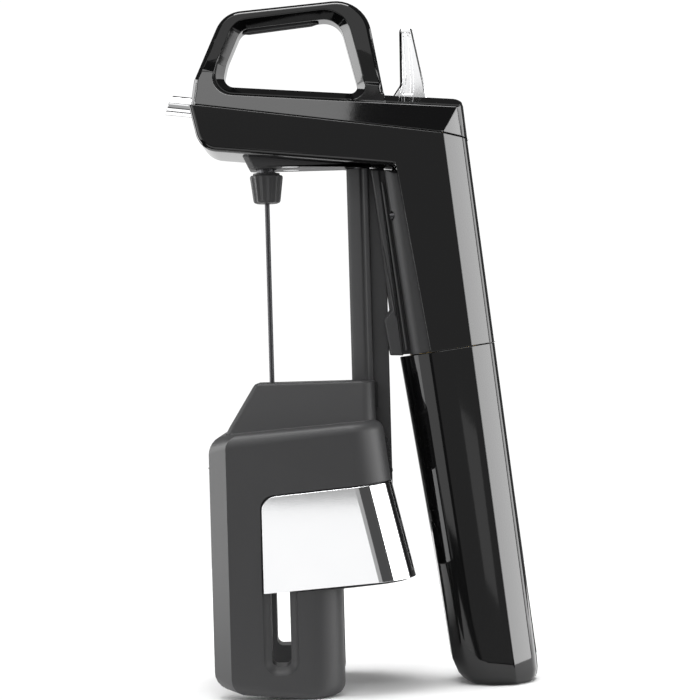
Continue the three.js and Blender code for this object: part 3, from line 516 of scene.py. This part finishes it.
def makeCover():
    gap = head["gap"]
    outer = [
        (-23.5, parting(-23.5) + gap, 0),
        (66.9, parting(66.9) + gap, 0),
        (64.15, deck(64.15), 4.2),
        (38.8, deck(38.8), 0.6),
        (33.4, 221.25, 11.5),
        (-12.2, 217.65, 9.5),
        (-22.1, 196.1, 6),
    ]
    # (half width, how far the loop's outer edges move in, how far the rear does)
    edges = [(6.9, 0, 0.15), (7.9, 0.45, 0.4), (8.9, 1.3, 1.0), (11.0, 1.5, 2.35)]
    edges += [(13, 1.8, 4.35), (17.4, 2.2, 8.7)]
    layers = mirrored([(y, [0, back, 0, d, d, d, d]) for y, d, back in edges])
    cover = sidePlate("topCover", outer, layers, None, 10)

    # The sides lean in from the parting line and run up into the loop without a crease.
    def widths(x):
        low, lean = parting(x), 0.60
        kink = deck(x) + 3.4
        rise = [(17.0, low - 30), (17.0, low)]
        rise.append((17.0 - lean * (kink - low), kink))
        w0 = rise[-1][0]
        for share in (0.2, 0.4, 0.6, 0.8, 1.0):
            ease = share * (2 - share)
            rise.append((w0 + (8.85 - w0) * ease, kink + 13 * share))
        rise.append((8.85, 262))
        return rise

    rings = []
    for x in (-40, 0, 40, 110):
        half = widths(x)
        rings.append([point(x, w, z) for w, z in half] + [point(x, -w, z) for w, z in reversed(half)])
    keep(cover, solid("sides", rings))

    hole = [
        (-13.4, deck(-13.4), 3.3),
        (31.0, deck(31.0), 2.2),
        (24.9, 215.5, 6.5),
        (-6.8, 212.5, 4.5),
        (-11.6, 201.8, 14),
    ]
    cut(cover, sidePlate("hole", hole, [(-8.95, -2.6), (-4.6, 0), (4.6, 0), (8.95, -2.6)], None, 10))
    open_ = [hole[0], (100, deck(100), 0), (100, 240, 0), (4.25, 240, 0), hole[4]]
    drop = [(8.9, -2.57), (11, -3.25), (13, -3.6), (15, -3.8), (19, -4.0)]
    for side in (-1, 1):
        layers = [(side * y, d) for y, d in drop]
        cut(cover, sidePlate("shoulder", open_, layers if side > 0 else layers[::-1], None, 10))
    behind = [(38.95, deck(38.95) + 0.02, 0), (100, deck(100) + 0.02, 0), (100, 240, 0), (38.95, 240, 0)]
    slope = [(-8.95, -2.62), (-4.6, 0), (4.6, 0), (8.95, -2.62)]
    cut(cover, sidePlate("rearDeck", behind, slope, [1, 0, 0, 0]))

    keep(cover, column("coverColumn"))
    inner = [(-20.6, 150, 0), (60.2, 150, 0), (60.2, deck(60.2) - 2.6, 0), (-20.6, deck(-20.6) - 2.6, 0)]
    cut(cover, sidePlate("coverHollow", inner, mirrored([(7.5, 0), (9.6, 2.6)]), [0, 0, 1, 0]))
    cut(cover, block("triggerSlot", 40.6, 56.0, -3.1, 3.1, 170, 230))
    cut(cover, rod("spoutHole", 3.5, -20, 12, spoutPlace))
    return finish(cover, "head", glossBlack, ["top_cover"], 0.28, 3, 24)


spoutPlace = standing(-23.4, 0, 188.3) @ Matrix.Rotation(-pi / 2 + radians(7.5), 4, "Y")


def makeShell():
    gap = head["gap"]
    body = [
        (-20.2, 172.75, 7.5),
        (41.7, underside(41.7), 1.5),
        (52.6, 98.0, 0),
        (95, 98.0, 0),
        (95, parting(95) - gap, 0),
        (-23.5, parting(-23.5) - gap, 0),
    ]
    shell = sidePlate("mainShell", body, mirrored(head["lip"]), [1, 0.12, 0, 0, 0, 1], 10)
    keep(shell, column("shellColumn"))
    keep(shell, aboveSeam("seamCut"))
    inner = [
        (-19.6, underside(-19.6) + 2.4, 3),
        (40.8, underside(40.8) + 2.4, 0),
        (42, 150, 0), (52, 90, 0), (95, 90, 0), (95, 215, 0), (-21.2, 215, 0),
    ]
    hollow = sidePlate("shellHollow", inner, [(-14.2, 0), (14.2, 0)])
    keep(hollow, column("hollowColumn", 2.2))
    cut(shell, hollow)
    mouth = [(33, underside(33) - 8, 0), (41.4, 90, 0), (60, 90, 0), (46.2, 163.2, 3)]
    cut(shell, sidePlate("mouth", mouth, [(-13.1, 0), (13.1, 0)]))
    cut(shell, rod("spoutHole", 3.5, -20, 12, spoutPlace))
    cut(shell, rod("nippleHole", 3.3, 140, 176, standing(0, 0, 0)))
    for x, y in ((30.4, 0), (8, -5.9), (8, 5.9)):
        cut(shell, rod("screwHole", 1.8, 150, 180, standing(x, y, 0), 16))
    return finish(shell, "head", glossBlack, ["main_shell"], 0.28, 3, 24)


def makeGripPad():
    pad = {"from": -7, "to": 18.5, "half": 3.6, "rise": 0.104}
    low = lambda x: 212.9 + pad["rise"] * (x + 6.8)
    strips = None
    for side in (-1, 1):
        start, end, half = pad["from"], pad["to"], side * pad["half"]
        flat = [(start, side * 0.5), (end, side * 0.5), (end - 2.4, half), (start + 2.4, half)]
        if side < 0:
            flat.reverse()
        rings = [[point(x, y, low(x) - d) for x, y in flat] for d in (1.15, 0.06)]
        strip = solid("gripStrip", rings)
        strips = join(strips, strip) if strips else strip
    base = block("gripBase", pad["from"] + 2, pad["to"] - 2, -3, 3, 0, 1)
    for vertex, x in zip(base.data.vertices, [v.co.x for v in base.data.vertices]):
        across = (x - needleX) / mm
        vertex.co.z = (low(across) - (0.85 if vertex.co.z < 0.0005 else 0.1)) * mm
    join(strips, base)
    strips.name = "gripPad"
    return finish(strips, "head", rubber, ["loop_grip_pad"], 0.18, 2)


def makeSpout():
    sides = 56
    profile = [(3.2, -14), (3.2, 14), (2.4, 14), (2.4, -14)]
    around = [(cos(tau * i / sides), sin(tau * i / sides)) for i in range(sides)]
    rings = []
    for radius, height in profile + profile[:1]:
        reach, rise = radius * mm, height * mm
        rings.append([spoutPlace @ Vector((reach * c, reach * s, rise)) for c, s in around])
    spout = solid("pourSpout", rings, False)
    quill = [(-33.0, 184.6, 0), (-28.9, 193.6, 0), (-60, 200, 0), (-60, 175, 0)]
    cut(spout, sidePlate("quill", quill, [(-20, 0), (20, 0)]))
    return finish(spout, "head", chrome, ["spout"], 0.14, 2)


def makeTrigger():
    pivotX, pivotZ = 47.5, 182.2
    lever = [
        (41.4, 189.4, 1.0),
        (43.0, pivotZ - 1.5, 1),
        (pivotX, pivotZ - 3.4, 1),
        (pivotX + 3, pivotZ - 2.4, 0.3),
        (pivotX + 9.6, pivotZ - 2.4, 0.8),
        (pivotX + 9.6, pivotZ, 0.8),
        (pivotX + 5.3, pivotZ + 2.6, 1),
        (52.9, 189.0, 0.8),
        (48.5, 211.9, 1.2),
        (44.4, 211.9, 1.2),
        (44.2, 193.5, 2.2),
    ]
    trigger = plate("trigger", lever, 2.8, 0.55, 6)
    rib = [
        (45.2, 189.6, 0.5), (47.4, 189.6, 0.5), (47.7, 195.4, 2),
        (47.2, 209.6, 0.5), (45.6, 209.6, 0.5), (46.2, 195.6, 2),
    ]
    groove = [
        (44.2, 190.4, 0.6), (48.6, 190.4, 0.6), (48.7, 195.6, 2),
        (47.9, 210.4, 0.6), (44.95, 210.4, 0.6), (45.2, 195.0, 2),
    ]
    for side in (-1, 1):
        layers = [(side * 2.2, 0), (side * 4, 0)]
        cut(trigger, sidePlate("grooveCut", groove, layers if side > 0 else layers[::-1]))
        layers = [(side * 2.0, 0), (side * 2.75, 0)]
        join(trigger, sidePlate("ribBar", rib, layers if side > 0 else layers[::-1]))
    cut(trigger, rod("triggerBore", 1.35, -9, 9, lyingAlongY(pivotX, 0, pivotZ), 24))
    return finish(trigger, "trigger", chrome, ["trigger"], 0.16, 2)


railPlanPoints = [
    (26.0, -3.7), (27.2, -4.6), (29.9, -5.5), (30.3, -5.5), (30.7, -5.05), (31.2, -5.05),
    (31.6, -5.5), (32.7, -5.5), (33.0, -5.2), (33.0, -3.5), (38.0, -3.5), (38.2, -3.3),
]


def railFlat(grown=0, rear=None):
    if not grown:
        return railPlanPoints + [(x, -y) for x, y in reversed(railPlanPoints)]
    end = rear or 38.2 + grown
    wide, narrow = -5.5 - grown, -3.5 - grown
    half = [(26 - grown, wide + 1.6), (29.6, wide), (33 + grown, wide), (33 + grown, narrow), (end, narrow)]
    return half + [(x, -y) for x, y in reversed(half)]


def makeRail():
    top = underside(33) - 0.6
    rail = planPrism("guideRail", railFlat(), 50, top)
    cut(rail, rod("railBore", 1.8, top - 8, top + 5, standing(30.4, 0, 0), 20))
    cut(rail, rod("stopBore", 1.8, -1, 6, lyingAlongX(26, 0, 55), 20))
    return finish(rail, "head", satinGrey, ["guide_rail"], 0.22, 2)


def makeFrame():
    web = [
        (34.3, underside(35) - 0.6, 0.4), (38.8, 121.0, 0.6), (36.9, 117.6, 0.8), (38.7, 106.1, 0.4),
        (47.5, 106.5, 0), (41.5, underside(41.5) - 1.0, 0),
    ]
    frameBody = plate("innerFrame", web, 6.3)
    cheek = [
        (33.9, 165.9, 0.4), (39.6, 120.6, 0.6), (36.9, 117.6, 0.8), (38.7, 106.1, 0.4), (42.7, 105.95, 0.2),
        (42.3, 112, 0), (36.5, 165.9, 0.2),
    ]
    join(frameBody, plate("cheek", cheek, 7.9, 0.35))
    slit = [(35.6, 150.2, 0), (40.6, 118.5, 0), (41.0, 118.5, 0), (36.2, 150.2, 0)]
    for side in (-1, 1):
        layers = [(side * 7.5, 0), (side * 9, 0)]
        cut(frameBody, sidePlate("slitCut", slit, layers if side > 0 else layers[::-1]))
    rib = [(37.0, 161.8, 0.2), (43.4, 107.4, 0.2), (44.35, 107.4, 0.2), (37.85, 161.8, 0.2)]
    join(frameBody, plate("rib", rib, 8.6, 0.3))
    strip = [(45.3, 106.08, 0.2), (54.0, 107.2, 0), (45.5, 162.4, 2), (42.3, 165.2, 3.4), (38.1, 165.6, 0.5)]
    arch = mirrored([(9.6, 0), (11.2, 0.5), (12.2, 1.3), (12.7, 2.2), (12.9, 3.0)])
    join(frameBody, sidePlate("strip", strip, arch, [0, 0, 0.1, 0.5, 1], 8))
    cut(frameBody, planPrism("railRoom", railFlat(0.06), 45, 190))
    cut(frameBody, rod("regulatorRoom", 12.1, seam - 20, seam + 36, handlePlace(), 48))
    for side in (-1, 1):
        place = handlePlace(-6, side * 10.4, seam + 45) @ Matrix.Rotation(pi / 2, 4, "Y")
        cut(frameBody, rod("screwRoom", 1.5, -8, 12, place, 16))
    return finish(frameBody, "head", satinGrey, ["inner_frame"], 0.16, 2)


def makeNose():
    nose = {"half": 9.6, "bevel": 2.0, "low": 167.5, "rear": 33.8}

    def ring(front, grow, heightOf):
        b, h = nose["bevel"], nose["half"] + grow
        half = [(front, b - h), (front + b, -h), (nose["rear"], -h)]
        flat = half + [(x, -y) for x, y in reversed(half)]
        return [point(x, y, heightOf(x)) for x, y in flat]

    low = nose["low"]
    piece = solid("noseBlock", [ring(-5.4, 0, lambda x: low), ring(-7.3, 0, lambda x: underside(x) - 0.3)])
    cut(piece, planPrism("railRoom", railFlat(0.3), 50, 190))
    cut(piece, rod("nippleRoom", 3.3, 150, 180, standing(0, 0, 0)))
    for y in (-5.9, 5.9):
        cut(piece, rod("screwRoom", 1.8, 150, 180, standing(8, y, 0), 16))
        cut(piece, rod("headRoom", 2.95, 150, 168.56, standing(8, y, 0), 24))
    return finish(piece, "head", satinGrey, ["nose_block"], 0.3, 2)


def makeNeedle():
    profile = [(0.05, 72), (0.42, 73.2), (0.8, 75), (0.8, 159), (2.6, 159), (2.6, 160.3)]
    profile += [(0.8, 160.3), (0.8, 174)]
    needle = turned("hollowNeedle", profile, standing(0, 0, 0), 24)
    return finish(needle, "needle", coatedSteel, ["needle"], 0.05, 1)


def makeNut():
    low = 156.45
    profile = [(3.3, 0), (4.05, 0.25), (4.42, 0.85), (4.5, 1.4), (5.32, 8.0), (5.36, 8.6)]
    profile += [(5.1, 9.05), (4.35, 9.1), (4.35, 9.8)]
    depth = [0, 0.03, 0.075, 0.09, 0.085, 0.02, 0, 0, 0]
    ridges = 14

    def flutes(angle, k):
        return depth[k] * (0.5 - 0.5 * cos(ridges * angle)) ** 0.7

    nut = turned("needleNut", profile, standing(0, 0, low), 168, flutes)
    cut(nut, turned("nutBore", [(0.9, -1), (0.9, 2.5), (3.1, 2.5), (3.1, 12)], standing(0, 0, low), 32))
    return finish(nut, "needle_nut", satinGrey, ["needle_nut"], 0.12, 2, 38)


def makeCup():
    # (height, shrink at the front, rear and sides, how far the ring stays level with the table)
    foot = [
        (-0.4, 6.4, 2.1, 2.7, 1), (0.5, 4.6, 1.3, 1.7, 1), (1.7, 3.0, 0.6, 0.9, 1),
        (3.6, 1.5, 0.15, 0.3, 0.95), (8.5, 0, 0, 0, 0.8),
    ]

    def ring(z, front, rear, side, level):
        h = handleHalf(z)
        f, w = h - front, h - side
        nose = [
            (-3.0, w), (-9.6 + 0.4 * front, w - 2.6), (-12.0 + 0.6 * front, w - 4.9),
            (-13.9 + 0.85 * front, w - 7.9), (-f + 0.25, w - 11.0), (-f, w - 13.2),
        ]
        shape = [(u, -v) for u, v in reversed(nose)]
        for u, v in rearSection(h):
            shape.append((u - (rear if u > 8 else 0), max(-w, min(w, v))))
        shape += nose
        return [onHandle(u, v, z - level * u * tan(tilt)) for u, v in shape]

    rings = [ring(*row) for row in foot] + [ring(60, 0, 0, 0, 0), ring(seam - 0.06, 0, 0, 0, 0)]
    cup = solid("capsuleCup", rings)
    bore = [(10.7, 16), (10.7, 88.4), (12.1, 89.4), (12.1, seam + 5)]
    cut(cup, turned("cupBore", bore, handlePlace(), 48))
    cut(cup, block("table", -far, far, -far, far, -30, 0.02))
    return finish(cup, "cup", glossBlack, ["capsule_cup"], 0.3, 3, 24)


clamp = {
    "half": 28, "front": 19.8, "bevelBack": 5.8, "bevelIn": 8, "round": 11.5, "legRear": 21.3, "legRound": 10,
    "bandFront": -3.2, "bandProud": 0.5, "bandSheet": 1.4, "slotHalf": 9, "slotFoot": 53.5,
}


def bandFoot(x):
    return 33.4 + 0.07 * x


def bandTop(x):
    return 63.3 + 0.085 * x


def shoulder(x):
    return 84.9 + 0.072 * (x - 20)


def clampRear(z):
    if z > 66.3:
        return 37.2 - (z - 66.3) / 20.2 * 2.3
    return 37.2 + (66.3 - z) / 28.9 * 6.0


# Plan of the clamp: bevelled front corners, rounded rear ones.
def clampPlan(front, rear, side, bevelBack, bevelIn, radius, steps=10):
    flat = [(-front, -side + bevelIn), (-front + bevelBack, -side)]
    for k in range(steps + 1):
        angle = -pi / 2 + pi / 2 * k / steps
        flat.append((rear - radius + radius * cos(angle), -side + radius + radius * sin(angle)))
    return flat + [(x, -y) for x, y in reversed(flat)]


def makeHousing():
    c = clamp
    rings = []

    def ring(frontIn, rearIn, sideIn, heightOf, rear=None, radius=None):
        end = (rear or clampRear(heightOf(10))) - rearIn
        bend = (radius or c["round"]) - min(rearIn, sideIn)
        flat = clampPlan(c["front"] - frontIn, end, c["half"] - sideIn, c["bevelBack"], c["bevelIn"], bend)
        rings.append([point(x, y, heightOf(x)) for x, y in flat])

    # feet: level under the rear, climbing towards the front, with rolled edges
    def sole(x):
        return 0.0 if x > 6 else 0.105 * (6 - x)

    for k in range(6):
        turn = pi / 2 * k / 5
        inward, upward = 1 - sin(turn), 1 - cos(turn)
        frontRoll, rearRoll, sideRoll = 5.0 * inward, 3.6 * inward, 1.2 * inward
        frontRise, rearRise, sideRise = 5.5 * upward, 3.8 * upward, 1.2 * upward

        def height(x, fr=frontRise, rr=rearRise, sr=sideRise):
            ahead = max(0.0, min(1.0, (-x - 8) / 8))
            back = max(0.0, min(1.0, (x - 10) / 8))
            return sole(x) + sr + ahead * (fr - sr) + back * (rr - sr)

        ring(frontRoll, rearRoll, sideRoll, height, c["legRear"], c["legRound"])
    ring(0, 0, 0, lambda x: bandFoot(x) - 0.9, c["legRear"], c["legRound"])
    ring(0, 1.2, 0, lambda x: bandFoot(x) - 0.6, 43.6)
    ring(0, 0.3, 0, lambda x: bandFoot(x) - 0.15, 43.4)
    ring(0, 0, 0, lambda x: bandFoot(x) + 0.7)
    ring(0, 0, 0, lambda x: 66.3 + 0.072 * (x - 20))
    for k in range(8):
        turn = pi / 2 * k / 7
        front, side = 5.6, 3.2
        inward = 1 - cos(turn)

        def rolled(x, left=1 - sin(turn)):
            ahead = max(0.0, min(1.0, (-x - 11) / 8))
            return shoulder(x) - (side + ahead * (front - side)) * left

        ring(front * inward, side * inward, side * inward, rolled)
    housing = solid("clampHousing", rings)

    def tower(z, front, half, radius=4.6):
        return [point(x, y, z) for x, y in clampPlan(front, 33.2, half, 1.3, 1.3, radius, 8)]

    rows = [(72, 20.2, 20.2), (85, 13.1, 17.5), (97.4, 5.5, 14.6), (98.0, 5.0, 14.35), (98.3, 4.4, 13.9)]
    join(housing, solid("tower", [tower(*row) for row in rows]))

    cuts = [
        block("neck", -far, 16, -16, 16, -20, 62.5),
        block("legGap", -far, far, -18, 18, -20, 33.4),
        block("rearGap", 16, far, -18, 18, -20, 32.4),
        planPrism("rearChannel", railFlat(0.3, far), 24, 110),
        block("slot", 36, far, -c["slotHalf"], c["slotHalf"], c["slotFoot"], 110),
        rod("guideHole", 3.5, 60, 110, standing(0, 0, 0), 32),
        rod("lipHole", 8.6, 60, 66.5, standing(0, 0, 0), 40),
        planPrism("chamber", [(-8.6, -11), (20, -11), (20, 11), (-8.6, 11)], 65, 88),
        planPrism("upperChamber", [(-4.6, -11), (20, -11), (20, 11), (-4.6, 11)], 86, 94.3),
        planPrism("upperBushRoom", railFlat(1.8, far), 89.4, 98.6),
        planPrism("lowerBushRoom", railFlat(1.8, far), 57.5, 66.1),
        block("stopGroove", 23.4, 27, -3.2, 3.2, 0, 57.8),
    ]
    for side in (-1, 1):
        cuts.append(block("jawRoom", -12.6, 12.6, *sorted((side * 15, side * 25.2)), 34, 62.5))
        cuts.append(rod("pinRoom", 1.3, -15.6, 15.6, lyingAlongX(0, side * 18.8, 58), 20))
    cut(housing, *cuts)

    window = [(-1.3, 10.2, 1.9), (4.7, 10.2, 1.9), (4.7, 44, 0), (-1.3, 44, 0)]
    cut(housing, sidePlate("window", window, [(-40, 0), (40, 0)], None, 8))
    flare = [(25.7, -0.2), (26.2, 0.9), (26.8, 1.7), (27.5, 2.25), (28.1, 2.6), (29, 2.7)]
    for side in (-1, 1):
        layers = [(side * y, -d) for y, d in flare]
        cut(housing, sidePlate("rim", window, layers if side > 0 else layers[::-1], None, 8))
    cut(housing, bandSolid("bandRoom", 0.45, 3.0, 4.5))
    def plain(at):
        return at.z / mm < bandFoot((at.x - needleX) / mm) + 1.6 or abs(at.y) > 27.0 * mm

    return finish(housing, "clamp", satinGrey, ["clamp_housing"], 0.25, 2, 28, plain)


# The chrome plate follows the clamp's side, rounds its rear and comes back on the other side.
def bandSolid(name, grown=0.0, proud=None, sheet=None):
    c = clamp
    proud = c["bandProud"] if proud is None else proud
    sheet = c["bandSheet"] if sheet is None else sheet
    front = c["bandFront"] - grown
    bend = 4.0

    def rail(offset, z):
        rear, side, radius = clampRear(z) + offset, c["half"] + offset, c["round"] + offset
        path = []
        for k in range(9):
            angle = pi / 2 * k / 8
            path.append((front + bend * (1 - cos(angle)), -side))
        for share in (0.25, 0.5, 0.75):
            path.append((front + bend + (rear - radius - front - bend) * share, -side))
        for k in range(25):
            angle = -pi / 2 + pi / 2 * k / 24
            path.append((rear - radius + radius * cos(angle), -side + radius + radius * sin(angle)))
        path.append((rear, 0))
        return path + [(x, -y) for x, y in reversed(path[:-1])]

    def heights(x, share, k, count):
        low, high = bandFoot(x) - grown, bandTop(x) + grown
        near = min(k, count - 1 - k)
        if near < 9:
            angle = pi / 2 * near / 8
            high -= bend * (1 - sin(angle))
        return low + (high - low) * share

    rows = 7
    work = bmesh.new()
    skins = []
    for offset in (proud, proud - sheet):
        grid = []
        for r in range(rows):
            share = r / (rows - 1)
            level = rail(offset, 33.4 + (66.5 - 33.4) * share)
            row = [point(x, y, heights(x, share, k, len(level))) for k, (x, y) in enumerate(level)]
            grid.append([work.verts.new(p) for p in row])
        skins.append(grid)
    outer, inner = skins
    count = len(outer[0])
    for grid in skins:
        for low, high in zip(grid, grid[1:]):
            for k in range(count - 1):
                work.faces.new((low[k], low[k + 1], high[k + 1], high[k]))
    for k in range(count - 1):
        for r in (0, rows - 1):
            work.faces.new((outer[r][k], outer[r][k + 1], inner[r][k + 1], inner[r][k]))
    for r in range(rows - 1):
        for k in (0, count - 1):
            work.faces.new((outer[r][k], outer[r + 1][k], inner[r + 1][k], inner[r][k]))
    bmesh.ops.recalc_face_normals(work, faces=work.faces)
    mesh = bpy.data.meshes.new(name)
    work.to_mesh(mesh)
    work.free()
    return makeObject(name, mesh)


badgeZ = 45.5
badgePlace = standing(clampRear(badgeZ) + 0.5, 0, badgeZ) @ Matrix.Rotation(pi / 2 - 0.202, 4, "Y")


def makeBand():
    band = bandSolid("chromeBand")
    cut(band, block("bandSlot", 30, far, -9, 9, clamp["slotFoot"], 110))
    stretchRoom = badgePlace @ Matrix.Diagonal((1, 1.5, 1, 1))
    cut(band, rod("badgeRoom", 4.75, -3, 3, stretchRoom, 48))
    return finish(band, "clamp", chrome, ["chrome_band"], 0.16, 2, 30)


def makeBadge():
    place = badgePlace @ Matrix.Diagonal((1, 1.5, 1, 1))
    profile = [(4.55, -0.8), (4.6, 0.0), (4.45, 0.18), (4.0, 0.27), (3.55, 0.12)]
    profile += [(3.2, 0.1), (2.6, 0.2), (1.4, 0.28), (0.2, 0.3)]
    badge = turned("rearBadge", profile, place, 64)
    return finish(badge, "clamp", satinGrey, ["rear_badge"], 0)


def makeGrips():
    for side, name in ((-1, "left"), (1, "right")):
        ribs = [(clampRear(68.8) - 2, 68.8, 0), (clampRear(68.8) + 0.4, 68.8, 0)]
        for k in range(5):
            z = 68.8 + 2.4 * k
            ribs.append((clampRear(z + 0.6) + 1.35, z + 0.5, 0.35))
            ribs.append((clampRear(z + 1.5) + 1.35, z + 1.5, 0.35))
            ribs.append((clampRear(z + 1.9) + 0.7, z + 1.9, 0.15))
            ribs.append((clampRear(z + 2.4) + 0.7, z + 2.4, 0.15))
        ribs.append((clampRear(80.8) + 0.4, 80.9, 0))
        ribs.append((clampRear(80.8) - 2, 80.9, 0))
        low, high = sorted((side * 9.6, side * 14.0))
        edge = [(low, 0.25), (low + 0.3, 0), (high - 0.3, 0), (high, 0.25)]
        grip = sidePlate("gripRibs" + name.capitalize(), ribs, edge, None, 3)
        finish(grip, "clamp", rubber, ["rear_grip_" + name], 0)


print("making the head")
makeCover()
makeShell()
makeGripPad()
makeSpout()
makeTrigger()
print("making the frame")
makeRail()
makeFrame()
makeNose()
makeNeedle()
makeNut()
makeCup()
print("making the clamp")
makeHousing()
makeBand()
makeBadge()
makeGrips()


# Pieces kept from the frame, mostly inside; the first words found in a name choose its finish.
finishByWord = [
    ("valve_body valve_cap valve_plunger regulator_body regulator_cap regulator_piston", brass),
    ("pad gasket oring seal bush cushion", rubber),
    ("nipple frame_screw", coatedSteel),
    ("needle_block", aluminium),
    ("wine_tube", clearTube),
    ("jaw_p jaw_s spring screw pin capsule tube bracket", steel),
]


def finishFor(name):
    for words, material in finishByWord:
        if any(word in name for word in words.split()):
            return material
    return satinGrey


for name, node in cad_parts.items():
    if node.hide_render:
        continue
    node.data.materials.clear()
    node.data.materials.append(finishFor(name))
    for face in node.data.polygons:
        face.use_smooth = True
    soften(node, 0.1, 1, 35)
print("carried-over pieces finished")


def makeFloor():
    work = bmesh.new()
    bmesh.ops.create_circle(work, cap_ends=True, segments=96, radius=0.20)
    for vertex in work.verts:
        vertex.co.y += 0.16
        vertex.co.z = -0.0002
    mesh = bpy.data.meshes.new("table")
    work.to_mesh(mesh)
    work.free()
    table = makeObject("table", mesh)
    paint = Paint("paleTable", Roughness=0.9, Specular_IOR_Level=0.1)
    paint.feed("Base Color", paint.shade(paint.noise(120, 3), (0.90, 0.90, 0.90), (0.94, 0.94, 0.94)))
    table.data.materials.append(paint.material)


def panel(name, position, target, width, height, radiance):
    light = bpy.data.lights.new(name, "AREA")
    light.shape = "RECTANGLE"
    light.size = width
    light.size_y = height
    light.energy = radiance * pi * width * height
    lamp = bpy.data.objects.new(name, light)
    bpy.context.scene.collection.objects.link(lamp)
    place = Vector(position)
    lamp.location = place
    lamp.rotation_euler = (Vector(target) - place).to_track_quat("-Z", "Y").to_euler()
    lamp.visible_camera = False
    return lamp


def makeLights():
    panel("frontSoft", (-0.22, -1.15, 0.0), (-0.22, 0, 0.0), 0.95, 0.68, 0.31)
    panel("frontLow", (-0.045, -1.1, -0.10), (-0.045, 0, -0.10), 0.17, 0.16, 0.66)
    panel("frontHigh", (-0.2, -1.05, 0.50), (-0.2, 0, 0.2), 0.95, 0.34, 0.95)
    panel("upper", (-0.15, -0.66, 0.80), (-0.15, 0, 0.2), 0.90, 0.30, 3.0)
    panel("frontLeft", (-0.85, -0.75, 0.08), (0, 0, 0.08), 0.50, 0.6, 1.2)
    panel("overhead", (-0.17, -0.25, 0.80), (-0.17, -0.22, 0), 0.50, 0.26, 3.4)
    panel("right", (0.80, -0.36, 0.16), (0, -0.02, 0.10), 0.62, 0.5, 3.2)
    panel("under", (-0.12, -0.30, -0.22), (-0.10, -0.05, 0.15), 0.6, 0.30, 1.2)
    panel("rightStrip", (0.85, 0.06, 0.17), (0.05, 0, 0.10), 0.36, 0.56, 6.5)
    panel("left", (-0.85, -0.25, 0.14), (0, 0, 0.10), 0.40, 0.7, 3.0)
    panel("rimLeft", (-0.62, 0.36, 0.16), (0, 0, 0.19), 0.30, 0.7, 5.0)
    panel("rimRight", (0.62, 0.42, 0.12), (0, 0, 0.19), 0.30, 0.7, 2.4)
    panel("behind", (0, 1.0, 0.08), (0, 0, 0.12), 0.40, 0.7, 0.8)
    panel("top", (0, 0.06, 1.3), (0, 0.06, 0), 0.8, 0.7, 9.0)


def makeWorld():
    world = bpy.data.worlds.new("studio")
    bpy.context.scene.world = world
    world.use_nodes = True
    tree = world.node_tree
    tree.nodes.clear()
    out = tree.nodes.new("ShaderNodeOutputWorld")
    mix = tree.nodes.new("ShaderNodeMixShader")
    dim = tree.nodes.new("ShaderNodeBackground")
    white = tree.nodes.new("ShaderNodeBackground")
    path = tree.nodes.new("ShaderNodeLightPath")
    dim.inputs["Color"].default_value = (0.07, 0.07, 0.07, 1)
    white.inputs["Color"].default_value = (1, 1, 1, 1)
    white.inputs["Strength"].default_value = 1.05
    tree.links.new(path.outputs["Is Camera Ray"], mix.inputs[0])
    tree.links.new(dim.outputs[0], mix.inputs[1])
    tree.links.new(white.outputs[0], mix.inputs[2])
    tree.links.new(mix.outputs[0], out.inputs[0])


def makeCamera():
    data = bpy.data.cameras.new("camera")
    camera = bpy.data.objects.new("camera", data)
    bpy.context.scene.collection.objects.link(camera)
    data.lens = 99.7
    data.sensor_width = 36
    data.clip_start = 0.01
    roll = Matrix.Rotation(radians(1.6), 4, "Y")
    level = Matrix.Rotation(pi / 2, 4, "X")
    camera.matrix_world = Matrix.Translation((0, -0.63, 0.1082)) @ roll @ level
    bpy.context.scene.camera = camera


makeFloor()
makeLights()
makeWorld()
makeCamera()
bpy.context.scene.view_settings.view_transform = "Standard"
print("stage made")
